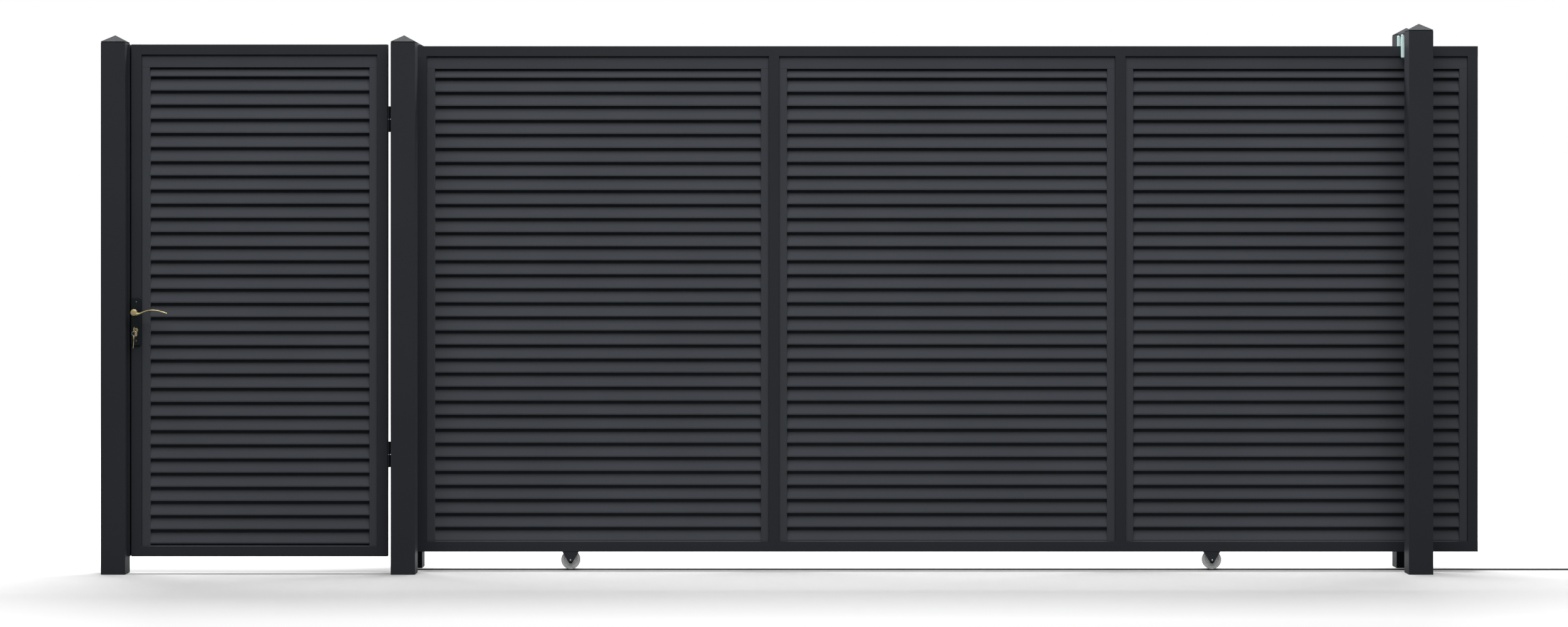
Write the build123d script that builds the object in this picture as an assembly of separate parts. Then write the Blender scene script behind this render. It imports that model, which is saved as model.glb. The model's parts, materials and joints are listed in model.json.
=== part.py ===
"""Sliding driveway gate with a wicket beside it: posts, louvred leaves, floor rail, wheels, guide and lock.

Millimetres. X runs along the gate, Y away from the outside, Z up. The origin is the centre of the
middle front post's foot.
"""
import os

from build123d import *

# Posts and their caps
post_size = 95.0
post_height = 2071.0
guide_post_above_leaf = 50.5
post_pair_gap = 160.0
cap_neck_inset = 1.5
cap_neck_height = 3.0
cap_edge_height = 1.0
cap_rise = 26.0
cap_peak_flat = 2.0

# Clear width between the middle post and the guide post
gate_opening = 3866.0

# Frame tube of both leaves
tube = 40.0

# Wicket leaf
wicket_width = 1000.0
wicket_height = 2000.0
wicket_ground_gap = 66.0
wicket_setback = 50.0
wicket_latch_gap = 14.0
wicket_hinge_gap = 18.5
strike_thickness = 7.5
strike_depth = 40.0
strike_setback = 52.0

# Wicket hinges
hinge_length = 100.0
hinge_barrel_radius = 6.0
hinge_pin_radius = 2.5
hinge_pin_reach = 38.0
hinge_joint_gap = 2.0
hinge_axis_before_leaf = 3.0
hinge_axis_beside_leaf = 7.0
hinge_tab_thickness = 4.0
hinge_lower_inset = 399.0
hinge_upper_inset = 292.0

# Sliding leaf
gate_height = 1991.0
gate_ground_gap = 74.5
gate_engagement = 11.0
gate_tail = 206.0
gate_middle_stile_inset = 1387.0

# Louvre inserts
louvre_recess = 8.0
louvre_depth = 28.0
louvre_stile_width = 31.0
louvre_header_height = 49.0
slat_pitch = 55.34
slat_first_drop = 35.0
slat_rise = 62.0
slat_lip = 5.0
slat_sheet = 2.0
slat_front_setback = 3.0
slat_back_setback = 2.0

# Floor rail and wheels
rail_width = 10.0
rail_height = 7.0
rail_past_wheel = 130.0
slide_reserve = 27.0
wheel_radius = 37.5
wheel_groove_depth = 3.0
wheel_groove_width = 13.0
wheel_width = 18.0
wheel_hub_radius = 13.0
wheel_rim_width = 8.0
wheel_web_recess = 3.5
wheel_axle_radius = 6.0
wheel_rail_clearance = 0.8
wheel_front_inset = 606.0
wheel_tail_inset = 1046.0
wheel_pocket_clearance = 5.0
bracket_top_width = 64.0
bracket_drop = 47.0
bracket_tip_radius = 8.0
bracket_plate = 5.0
axle_head_radius = 9.0
axle_head_height = 4.0

# Guide rollers over the leaf's top rail
roller_radius = 16.0
roller_overhang = 5.5
roller_height = 92.0
roller_axle_radius = 5.0
roller_leaf_clearance = 5.0
roller_end_play = 0.5
roller_nut_radius = 8.0
roller_nut_height = 6.0
guide_plate_thickness = 6.0

# Lock, levers and keys
lock_plate_width = 40.0
lock_plate_height = 187.0
lock_plate_thickness = 8.0
lock_plate_corner = 10.0
lock_plate_below_lever = 130.0
lever_height = 1020.0
lever_shaft_radius = 6.0
lever_collar_radius = 11.0
lever_collar_height = 4.0
lever_neck_radius = 8.0
lever_hub_radius = 13.5
lever_projection = 50.0
lever_bar_depth = 14.0
lever_bar_thickness = 6.5
lever_dip = 7.0
lever_swell = (30.0, 0.0)
lever_crest = (72.0, 10.0)
lever_tip = (128.0, -3.5)
cylinder_below_lever = 70.0
cylinder_radius = 8.5
cylinder_leg_width = 10.0
cylinder_height = 33.0
cylinder_proud = 3.0
keyway_width = 2.6
keyway_height = 8.6
keyway_depth = 24.0
key_thickness = 2.0
key_bow_height = 27.0
key_bow_length = 25.0
key_collar_length = 5.0
key_hole_radius = 4.0
key_hole_edge = 4.0
key_blade_height = 8.0
key_blade_length = 29.0
key_insertion = 13.0
spare_key_tilt = 4.5
key_ring_radius = 9.0
key_ring_wire_radius = 1.0

# Shared clearances
running_clearance = 0.3

# Places worked out from the sizes above
post_half = post_size / 2
leaf_tube_half = tube / 2
post_back = post_half
rear_post_y = post_size + post_pair_gap
wicket_right = -post_half - wicket_hinge_gap
wicket_left = wicket_right - wicket_width
wicket_bottom = wicket_ground_gap
wicket_top = wicket_bottom + wicket_height
wicket_front = -post_half + wicket_setback
wicket_back = wicket_front + tube
latch_post_x = wicket_left - wicket_latch_gap - post_half
guide_post_x = post_half + gate_opening + post_half
gate_left = post_half - gate_engagement
gate_right = guide_post_x + post_half + gate_tail
gate_bottom = gate_ground_gap
gate_top = gate_bottom + gate_height
slide_travel = gate_engagement + gate_opening - slide_reserve
guide_post_height = gate_top + guide_post_above_leaf
gate_y = post_back + post_pair_gap / 2
gate_front = gate_y - leaf_tube_half
gate_back = gate_y + leaf_tube_half
hinge_x = wicket_right + hinge_axis_beside_leaf
hinge_y = wicket_front - hinge_axis_before_leaf
hinge_heights = (wicket_bottom + hinge_lower_inset, wicket_top - hinge_upper_inset)
lock_x = wicket_left + leaf_tube_half
wicket_y = (wicket_front + wicket_back) / 2
cylinder_z = lever_height - cylinder_below_lever
wheel_root_radius = wheel_radius - wheel_groove_depth
wheel_z = rail_height + wheel_rail_clearance + wheel_root_radius
wheel_places = (gate_left + wheel_front_inset, gate_right - wheel_tail_inset)
guide_plate_bottom = guide_post_height - guide_plate_thickness
roller_top = guide_plate_bottom - roller_end_play
roller_bottom = roller_top - roller_height


def block(x_span, y_span, z_span):
    """A box between two places along each axis."""
    size = [high - low for low, high in (x_span, y_span, z_span)]
    middle = [(high + low) / 2 for low, high in (x_span, y_span, z_span)]
    return Pos(*middle) * Box(*size)


def upright_rod(x, y, z_span, radius):
    """A round rod that stands along Z."""
    low, high = z_span
    return Pos(x, y, (low + high) / 2) * Cylinder(radius, high - low)


def cross_rod(x, z, y_span, radius):
    """A round rod that lies along Y."""
    low, high = y_span
    return Pos(x, (low + high) / 2, z) * Rot(X=90) * Cylinder(radius, high - low)


def cross_plate(outline, y_span):
    """A flat outline, drawn in X and Z, given its thickness along Y."""
    low, high = y_span
    return Pos(0, high, 0) * extrude(Plane.XZ * outline, high - low)


def save(node, *solids):
    """Write one node, as one solid or as several that lie apart."""
    shape = solids[0] if len(solids) == 1 else Compound(children=list(solids))
    export_step(shape, f"parts/{node}.step")


def post(x, y, height):
    """A square post that stands on the ground."""
    return block((x - post_half, x + post_half), (y - post_half, y + post_half), (0, height))


def post_cap(x, y, height):
    """A low pyramid over a narrow neck, which leaves a shadow line on the post."""
    neck_size = post_size - 2 * cap_neck_inset
    edge_bottom = height + cap_neck_height
    edge_top = edge_bottom + cap_edge_height
    neck = Pos(x, y, height + cap_neck_height / 2) * Box(neck_size, neck_size, cap_neck_height)
    edge = Pos(x, y, (edge_bottom + edge_top) / 2) * Box(post_size, post_size, cap_edge_height)
    base = Pos(x, y, edge_top) * Rectangle(post_size, post_size)
    peak = Pos(x, y, edge_top + cap_rise) * Rectangle(cap_peak_flat, cap_peak_flat)
    return neck + edge + loft([base, peak], ruled=True)


def slat(x_span, y_front, y_back, z_lower):
    """A sheet that leans back from a short upright lip at its lower front edge."""
    left, right = x_span
    outline = [
        (y_front, z_lower),
        (y_front + slat_sheet, z_lower),
        (y_front + slat_sheet, z_lower + slat_lip),
        (y_back, z_lower + slat_rise),
        (y_back - slat_sheet, z_lower + slat_rise),
        (y_front, z_lower + slat_lip),
    ]
    section = Plane.YZ * make_face(Polyline(*outline, close=True))
    return Pos(left, 0, 0) * extrude(section, right - left)


def louvre_panel(bay, front, z_span):
    """A header, two stiles under its ends, and slats between them, the last cut off at the bottom rail."""
    left, right = bay
    bottom, top = z_span
    louvre_front = front + louvre_recess
    depth = (louvre_front, louvre_front + louvre_depth)
    inner = (left + louvre_stile_width, right - louvre_stile_width)
    header_bottom = top - louvre_header_height
    header = block(bay, depth, (header_bottom, top))
    left_stile = block((left, inner[0]), depth, (bottom, header_bottom))
    right_stile = block((inner[1], right), depth, (bottom, header_bottom))

    y_front = louvre_front + slat_front_setback
    y_back = louvre_front + louvre_depth - slat_back_setback
    first_lower = header_bottom - slat_first_drop
    count = int((first_lower - bottom) / slat_pitch) + 1
    slats = [slat(inner, y_front, y_back, first_lower - index * slat_pitch) for index in range(count)]
    foot_slat = slat(inner, y_front, y_back, first_lower - count * slat_pitch)
    foot_space = block(inner, depth, (bottom, bottom + slat_rise))
    return header.fuse(left_stile, right_stile, *slats, foot_slat & foot_space)


def hinge_barrels(z_middle):
    """The post's barrel with its pin, and the leaf's barrel that turns on the pin."""
    low = z_middle - hinge_length / 2
    high = z_middle + hinge_length / 2
    post_top = z_middle - hinge_joint_gap / 2
    leaf_bottom = z_middle + hinge_joint_gap / 2
    tab_depth = (hinge_y + hinge_barrel_radius - hinge_tab_thickness, hinge_y + hinge_barrel_radius)
    post_tab = block((hinge_x, -post_half), tab_depth, (low, post_top))
    leaf_tab = block((wicket_right, hinge_x), tab_depth, (leaf_bottom, high))
    pin = upright_rod(hinge_x, hinge_y, (low, leaf_bottom + hinge_pin_reach), hinge_pin_radius)
    bore = upright_rod(
        hinge_x,
        hinge_y,
        (leaf_bottom, leaf_bottom + hinge_pin_reach + running_clearance),
        hinge_pin_radius + running_clearance,
    )
    post_barrel = upright_rod(hinge_x, hinge_y, (low, post_top), hinge_barrel_radius) + post_tab + pin
    leaf_barrel = upright_rod(hinge_x, hinge_y, (leaf_bottom, high), hinge_barrel_radius) + leaf_tab - bore
    return post_barrel, leaf_barrel


def wheel_pocket(x):
    """The room that a wheel needs in the underside of the bottom rail."""
    reach = wheel_radius + wheel_pocket_clearance
    half_width = wheel_width / 2 + wheel_pocket_clearance
    return cross_rod(x, wheel_z, (gate_y - half_width, gate_y + half_width), reach)


def floor_wheel(x):
    """A grooved wheel with a dished web on both sides."""
    half = wheel_width / 2
    web = half - wheel_web_recess
    rim_inside = wheel_root_radius - wheel_rim_width
    groove_half = wheel_groove_width / 2
    root_half = groove_half - wheel_groove_depth / 2
    bore = wheel_axle_radius + running_clearance
    outline = [
        (bore, -half),
        (wheel_hub_radius, -half),
        (wheel_hub_radius, -web),
        (rim_inside, -web),
        (rim_inside, -half),
        (wheel_radius, -half),
        (wheel_radius, -groove_half),
        (wheel_root_radius, -root_half),
        (wheel_root_radius, root_half),
        (wheel_radius, groove_half),
        (wheel_radius, half),
        (rim_inside, half),
        (rim_inside, web),
        (wheel_hub_radius, web),
        (wheel_hub_radius, half),
        (bore, half),
    ]
    section = make_face(Polyline(*outline, close=True))
    return Pos(x, gate_y, wheel_z) * revolve(section, Axis.Y)


def wheel_bracket(x):
    """Two tapered cheeks under the bottom rail, joined by the wheel's axle."""
    tip_z = gate_bottom - bracket_drop + bracket_tip_radius
    top_edge = Line((x - bracket_top_width / 2, gate_bottom), (x + bracket_top_width / 2, gate_bottom))
    tip = Pos(x, tip_z) * Circle(bracket_tip_radius)
    outline = make_hull(top_edge.edges() + tip.edges())
    inside = wheel_width / 2 + wheel_pocket_clearance
    outside = inside + bracket_plate
    head = outside + axle_head_height
    front_cheek = cross_plate(outline, (gate_y - outside, gate_y - inside))
    back_cheek = cross_plate(outline, (gate_y + inside, gate_y + outside))
    axle = cross_rod(x, wheel_z, (gate_y - outside, gate_y + outside), wheel_axle_radius)
    front_head = cross_rod(x, wheel_z, (gate_y - head, gate_y - outside), axle_head_radius)
    back_head = cross_rod(x, wheel_z, (gate_y + outside, gate_y + head), axle_head_radius)
    return front_cheek + back_cheek + axle + front_head + back_head


def floor_rail(left, right):
    """A low rail with a rounded top, lying on the ground."""
    half = rail_width / 2
    shoulder = rail_height - half
    foot = block((left, right), (gate_y - half, gate_y + half), (0, shoulder))
    crown = Pos((left + right) / 2, gate_y, shoulder) * Rot(Y=90) * Cylinder(half, right - left)
    below_shoulder = block((left, right), (gate_y - half, gate_y + half), (shoulder - rail_width, shoulder))
    return foot + (crown - below_shoulder)


def guide_roller(x, y):
    """A roller that turns on an upright axle."""
    barrel = upright_rod(x, y, (roller_bottom, roller_top), roller_radius)
    bore = upright_rod(x, y, (roller_bottom, roller_top), roller_axle_radius + running_clearance)
    return barrel - bore


def guide_axle(x, y):
    """The axle under the guide plate, with the nut that keeps its roller on."""
    nut_top = roller_bottom - roller_end_play
    shaft = upright_rod(x, y, (nut_top, guide_plate_bottom), roller_axle_radius)
    nut = upright_rod(x, y, (nut_top - roller_nut_height, nut_top), roller_nut_radius)
    return shaft + nut


def cylinder_outline(clearance):
    """The pear-shaped face of the lock cylinder, larger all round by a clearance."""
    radius = cylinder_radius + clearance
    leg_half = cylinder_leg_width / 2 + clearance
    leg_bottom = cylinder_radius - cylinder_height - clearance
    leg_middle = leg_bottom / 2
    leg = Pos(lock_x, cylinder_z + leg_middle) * Rectangle(2 * leg_half, -leg_bottom)
    return Pos(lock_x, cylinder_z) * Circle(radius) + leg


def lock_cuts(y_span):
    """The holes for the lever shaft and the lock cylinder, right through the lock stile."""
    shaft = cross_rod(lock_x, lever_height, y_span, lever_shaft_radius + running_clearance)
    return shaft + cross_plate(cylinder_outline(running_clearance), y_span)


def lock_plate():
    """The outside lock plate, with a collar round the lever shaft."""
    face = wicket_front - lock_plate_thickness
    middle_z = lever_height - lock_plate_below_lever + lock_plate_height / 2
    outline = Pos(lock_x, middle_z) * RectangleRounded(lock_plate_width, lock_plate_height, lock_plate_corner)
    plate = cross_plate(outline, (face, wicket_front))
    collar = cross_rod(lock_x, lever_height, (face - lever_collar_height, face), lever_collar_radius)
    return plate + collar - lock_cuts((face - lever_collar_height, wicket_front))


def lever():
    """The outside lever: half of the shaft, a neck, a round hub and a bar that rises and droops."""
    face = wicket_front - lock_plate_thickness
    neck_end = face - lever_collar_height - running_clearance
    bar_front = face - lever_projection
    bar_back = bar_front + lever_bar_depth
    shaft = cross_rod(lock_x, lever_height, (neck_end, wicket_y), lever_shaft_radius)
    neck = cross_rod(lock_x, lever_height, (bar_back, neck_end), lever_neck_radius)
    hub = cross_rod(lock_x, lever_height, (bar_front, bar_back), lever_hub_radius)
    crest_arc = ThreePointArc(lever_swell, lever_crest, lever_tip)
    rise_arc = TangentArc(lever_swell, (0, -lever_dip), tangent=-(crest_arc % 0))
    outline = trace([rise_arc, crest_arc], lever_bar_thickness)
    bar = Pos(lock_x, 0, lever_height) * cross_plate(outline, (bar_front, bar_back))
    return shaft + neck + hub + bar


def lock_cylinder():
    """The lock cylinder, proud of both plates, with a keyway at each end."""
    outside = wicket_front - lock_plate_thickness - cylinder_proud
    inside = wicket_back + lock_plate_thickness + cylinder_proud
    body = cross_plate(cylinder_outline(0), (outside, inside))
    keyway_x = (lock_x - keyway_width / 2, lock_x + keyway_width / 2)
    keyway_z = (cylinder_z - keyway_height / 2, cylinder_z + keyway_height / 2)
    outside_keyway = block(keyway_x, (outside, outside + keyway_depth), keyway_z)
    inside_keyway = block(keyway_x, (inside - keyway_depth, inside), keyway_z)
    return body - outside_keyway - inside_keyway


def key_shape():
    """A key drawn in its own plane: the bow's far end at the origin, the blade along local X."""
    bow = Pos(key_bow_length / 2, 0) * Ellipse(key_bow_length / 2, key_bow_height / 2)
    blade_start = key_bow_length - key_collar_length
    blade_end = key_bow_length + key_blade_length
    blade_middle = (blade_start + blade_end) / 2
    blade = Pos(blade_middle, 0) * Rectangle(blade_end - blade_start, key_blade_height)
    hole = Pos(key_hole_inset, 0) * Circle(key_hole_radius)
    return bow + blade - hole


# Positions of the key bunch, worked out from the cylinder's face
cylinder_face = wicket_front - lock_plate_thickness - cylinder_proud
key_hole_inset = key_hole_edge + key_hole_radius
key_bow_end = cylinder_face + key_insertion - key_blade_length - key_bow_length
key_hole_y = key_bow_end + key_hole_inset
ring_top_z = cylinder_z - key_hole_radius + key_ring_wire_radius + running_clearance
ring_centre_z = ring_top_z - key_ring_radius
spare_hole_z = ring_centre_z - key_ring_radius - key_hole_radius + key_ring_wire_radius + running_clearance


def key_in_lock():
    """The key in the lock, on edge, with its bow standing out of the cylinder."""
    plane = Plane(origin=(lock_x, key_bow_end, cylinder_z), x_dir=(0, 1, 0), z_dir=(1, 0, 0))
    return extrude(plane * key_shape(), key_thickness / 2, both=True)


def spare_key():
    """The second key, hanging from the ring a little askew."""
    plane = Plane(origin=(0, 0, 0), x_dir=(0, 0, -1), z_dir=(1, 0, 0))
    hanging = extrude(plane * Pos(-key_hole_inset, 0) * key_shape(), key_thickness / 2, both=True)
    return Pos(lock_x, key_hole_y, spare_hole_z) * Rot(Y=spare_key_tilt) * hanging


def key_ring():
    """The split ring through both bows, seen as one round wire."""
    return Pos(lock_x, key_hole_y, ring_centre_z) * Rot(X=90) * Torus(key_ring_radius, key_ring_wire_radius)


def to_inside(shape):
    """The same piece on the inside face of the wicket leaf."""
    return mirror(shape, about=Plane.XZ.offset(-wicket_y))


def build_posts():
    """Five posts, each with its cap."""
    places = {
        "latch_post": (latch_post_x, 0, post_height),
        "middle_post_front": (0, 0, post_height),
        "middle_post_rear": (0, rear_post_y, post_height),
        "guide_post_front": (guide_post_x, 0, guide_post_height),
        "guide_post_rear": (guide_post_x, rear_post_y, guide_post_height),
    }
    for node, (x, y, height) in places.items():
        save(node, post(x, y, height))
        save(f"{node}_cap", post_cap(x, y, height))


def build_wicket():
    """The wicket leaf, its strike bar, hinges, lock and keys."""
    depth = (wicket_front, wicket_back)
    height = (wicket_bottom, wicket_top)
    bay = (wicket_left + tube, wicket_right - tube)
    inner_height = (wicket_bottom + tube, wicket_top - tube)
    lock_stile = block((wicket_left, wicket_left + tube), depth, height) - lock_cuts(depth)
    save("wicket_lock_stile", lock_stile)
    save("wicket_hinge_stile", block((wicket_right - tube, wicket_right), depth, height))
    save("wicket_top_rail", block(bay, depth, (wicket_top - tube, wicket_top)))
    save("wicket_bottom_rail", block(bay, depth, (wicket_bottom, wicket_bottom + tube)))
    save("wicket_louvre_panel", louvre_panel(bay, wicket_front, inner_height))

    strike_left = latch_post_x + post_half
    strike_front = -post_half + strike_setback
    strike_y = (strike_front, strike_front + strike_depth)
    save("strike_bar", block((strike_left, strike_left + strike_thickness), strike_y, height))

    pairs = [hinge_barrels(z) for z in hinge_heights]
    save("hinge_post_barrels", *[on_post.solid() for on_post, on_leaf in pairs])
    save("hinge_leaf_barrels", *[on_leaf.solid() for on_post, on_leaf in pairs])

    save("lock_plate_outside", lock_plate())
    save("lock_plate_inside", to_inside(lock_plate()))
    save("lever_outside", lever())
    save("lever_inside", to_inside(lever()))
    save("lock_cylinder", lock_cylinder())
    save("key_in_lock", key_in_lock())
    save("key_ring", key_ring())
    save("spare_key", spare_key())


def build_sliding_leaf():
    """The sliding leaf: frame tubes, three louvred bays, wheels and their brackets."""
    depth = (gate_front, gate_back)
    inner_height = (gate_bottom + tube, gate_top - tube)
    bottom_rail = block((gate_left, gate_right), depth, (gate_bottom, gate_bottom + tube))
    for x in wheel_places:
        bottom_rail = bottom_rail - wheel_pocket(x)
    save("gate_bottom_rail", bottom_rail)
    save("gate_top_rail", block((gate_left, gate_right), depth, (gate_top - tube, gate_top)))

    stile_left_edges = {
        "gate_front_stile": gate_left,
        "gate_middle_stile_left": gate_left + gate_middle_stile_inset,
        "gate_middle_stile_right": gate_right - gate_middle_stile_inset - tube,
        "gate_tail_stile": gate_right - tube,
    }
    for node, left in stile_left_edges.items():
        save(node, block((left, left + tube), depth, inner_height))

    edges = list(stile_left_edges.values())
    for name, left, right in zip(("left", "middle", "right"), edges[:-1], edges[1:]):
        bay = (left + tube, right)
        save(f"gate_louvre_panel_{name}", louvre_panel(bay, gate_front, inner_height))

    for name, x in zip(("left", "right"), wheel_places):
        save(f"floor_wheel_{name}", floor_wheel(x))
        save(f"wheel_bracket_{name}", wheel_bracket(x))

    save("floor_rail", floor_rail(0, max(wheel_places) + slide_travel + rail_past_wheel))


def build_guide():
    """The plate between the guide posts, and four rollers under it beside the leaf's top rail."""
    plate_x = (guide_post_x - post_half, guide_post_x + post_half)
    plate_y = (post_back, rear_post_y - post_half)
    save("guide_plate", block(plate_x, plate_y, (guide_plate_bottom, guide_post_height)))

    roller_offset = leaf_tube_half + roller_leaf_clearance + roller_radius
    roller_inset = roller_radius - roller_overhang
    columns = {"left": plate_x[0] + roller_inset, "right": plate_x[1] - roller_inset}
    rows = {"front": gate_y - roller_offset, "rear": gate_y + roller_offset}
    axles = []
    for row, y in rows.items():
        for column, x in columns.items():
            save(f"guide_roller_{row}_{column}", guide_roller(x, y))
            axles.append(guide_axle(x, y).solid())
    save("guide_axles", *axles)


os.makedirs("parts", exist_ok=True)
build_posts()
build_wicket()
build_sliding_leaf()
build_guide()
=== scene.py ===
"""Dresses the louvred sliding gate and its wicket: rounded steel, powder coat, lock, wheels and guide.

Metres. X runs along the gate, Y from the outside to the inside, Z up.
"""

import json
import math

import bmesh
import bpy
from bpy.props import FloatProperty, FloatVectorProperty, PointerProperty
from bpy.types import Operator, Panel, PropertyGroup
from mathutils import Matrix, Vector

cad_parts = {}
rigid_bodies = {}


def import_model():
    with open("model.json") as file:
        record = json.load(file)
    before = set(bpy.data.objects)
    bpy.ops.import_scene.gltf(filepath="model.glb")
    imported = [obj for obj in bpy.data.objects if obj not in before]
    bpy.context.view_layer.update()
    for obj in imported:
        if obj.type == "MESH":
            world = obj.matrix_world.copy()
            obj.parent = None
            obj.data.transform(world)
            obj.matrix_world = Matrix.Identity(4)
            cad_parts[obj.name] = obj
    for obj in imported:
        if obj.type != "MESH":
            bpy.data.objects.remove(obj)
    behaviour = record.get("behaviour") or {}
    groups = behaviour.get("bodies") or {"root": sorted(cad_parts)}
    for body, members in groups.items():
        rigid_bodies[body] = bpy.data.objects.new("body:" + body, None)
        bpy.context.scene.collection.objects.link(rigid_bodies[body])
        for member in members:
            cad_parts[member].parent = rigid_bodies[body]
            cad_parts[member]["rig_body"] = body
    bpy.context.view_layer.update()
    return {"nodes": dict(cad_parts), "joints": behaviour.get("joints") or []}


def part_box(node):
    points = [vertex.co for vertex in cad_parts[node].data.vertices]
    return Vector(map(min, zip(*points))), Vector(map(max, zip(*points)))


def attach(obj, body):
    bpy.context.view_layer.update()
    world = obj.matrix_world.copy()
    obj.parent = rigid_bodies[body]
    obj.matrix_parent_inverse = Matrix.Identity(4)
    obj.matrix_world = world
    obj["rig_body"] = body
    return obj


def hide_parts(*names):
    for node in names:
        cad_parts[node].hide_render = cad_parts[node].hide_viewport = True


bl_info = {
    "name": "Louvred Sliding Gate",
    "version": (1, 0, 0),
    "blender": (4, 5, 0),
    "location": "View3D > Sidebar > Gate",
    "description": "Builds the finished surfaces of a louvred sliding gate with a wicket",
    "category": "Object",
}

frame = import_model()
joint_places = {joint["name"]: Vector(joint.get("pos_m", (0, 0, 0))) for joint in frame["joints"]}

X, Y, Z = range(3)
POSTS = ("latch_post", "middle_post_front", "middle_post_rear", "guide_post_front", "guide_post_rear")
WICKET_STILES = ("wicket_lock_stile", "wicket_hinge_stile")
WICKET_RAILS = ("wicket_top_rail", "wicket_bottom_rail")
GATE_RAILS = ("gate_top_rail", "gate_bottom_rail")
GATE_STILES = ("gate_front_stile", "gate_middle_stile_left", "gate_middle_stile_right", "gate_tail_stile")
GATE_PANELS = ("gate_louvre_panel_left", "gate_louvre_panel_middle", "gate_louvre_panel_right")
SIDES = ("left", "right")
ROWS = ("front", "rear")
OUTWARDS = {"outside": -1.0, "inside": 1.0}

# Along the bar from the pivot, above the pivot, half the bar's thickness, half its depth.
LEVER_STATIONS = (
    (0.003, -0.0048, 0.0082, 0.0066),
    (0.011, -0.0056, 0.0074, 0.0065),
    (0.0165, -0.0056, 0.0056, 0.0064),
    (0.0225, -0.0044, 0.0040, 0.0062),
    (0.030, -0.0014, 0.0032, 0.0060),
    (0.043, 0.0045, 0.0029, 0.0058),
    (0.0585, 0.0084, 0.0028, 0.0057),
    (0.074, 0.0094, 0.0028, 0.0056),
    (0.0945, 0.0068, 0.0028, 0.0055),
    (0.112, 0.0019, 0.0028, 0.0054),
    (0.129, -0.0043, 0.0027, 0.0052),
)

# Depth of each cut in a key's blade, from its bow to its tip, after the plain shoulder.
KEY_SHOULDER = (0.0,) * 5
KEY_CUTS = (0.0012, 0.0022, 0.0008, 0.0026, 0.0014, 0.0030, 0.0010, 0.0022, 0.0006, 0.0018, 0.0034, 0.0038)


def length(name, description, default):
    """A length that a user may change."""
    return FloatProperty(
        name=name, description=description, default=default, min=0.0, precision=4, unit="LENGTH"
    )


def number(name, description, default, unit="NONE"):
    """A number that a user may change."""
    return FloatProperty(name=name, description=description, default=default, unit=unit)


def position(name, description, default):
    """A point that a user may move."""
    return FloatVectorProperty(
        name=name, description=description, default=default, size=3, subtype="TRANSLATION", unit="LENGTH"
    )


def colour(name, description, default):
    """A colour that a user may change."""
    return FloatVectorProperty(
        name=name, description=description, default=default, min=0.0, max=1.0, size=3, subtype="COLOR"
    )


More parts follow.
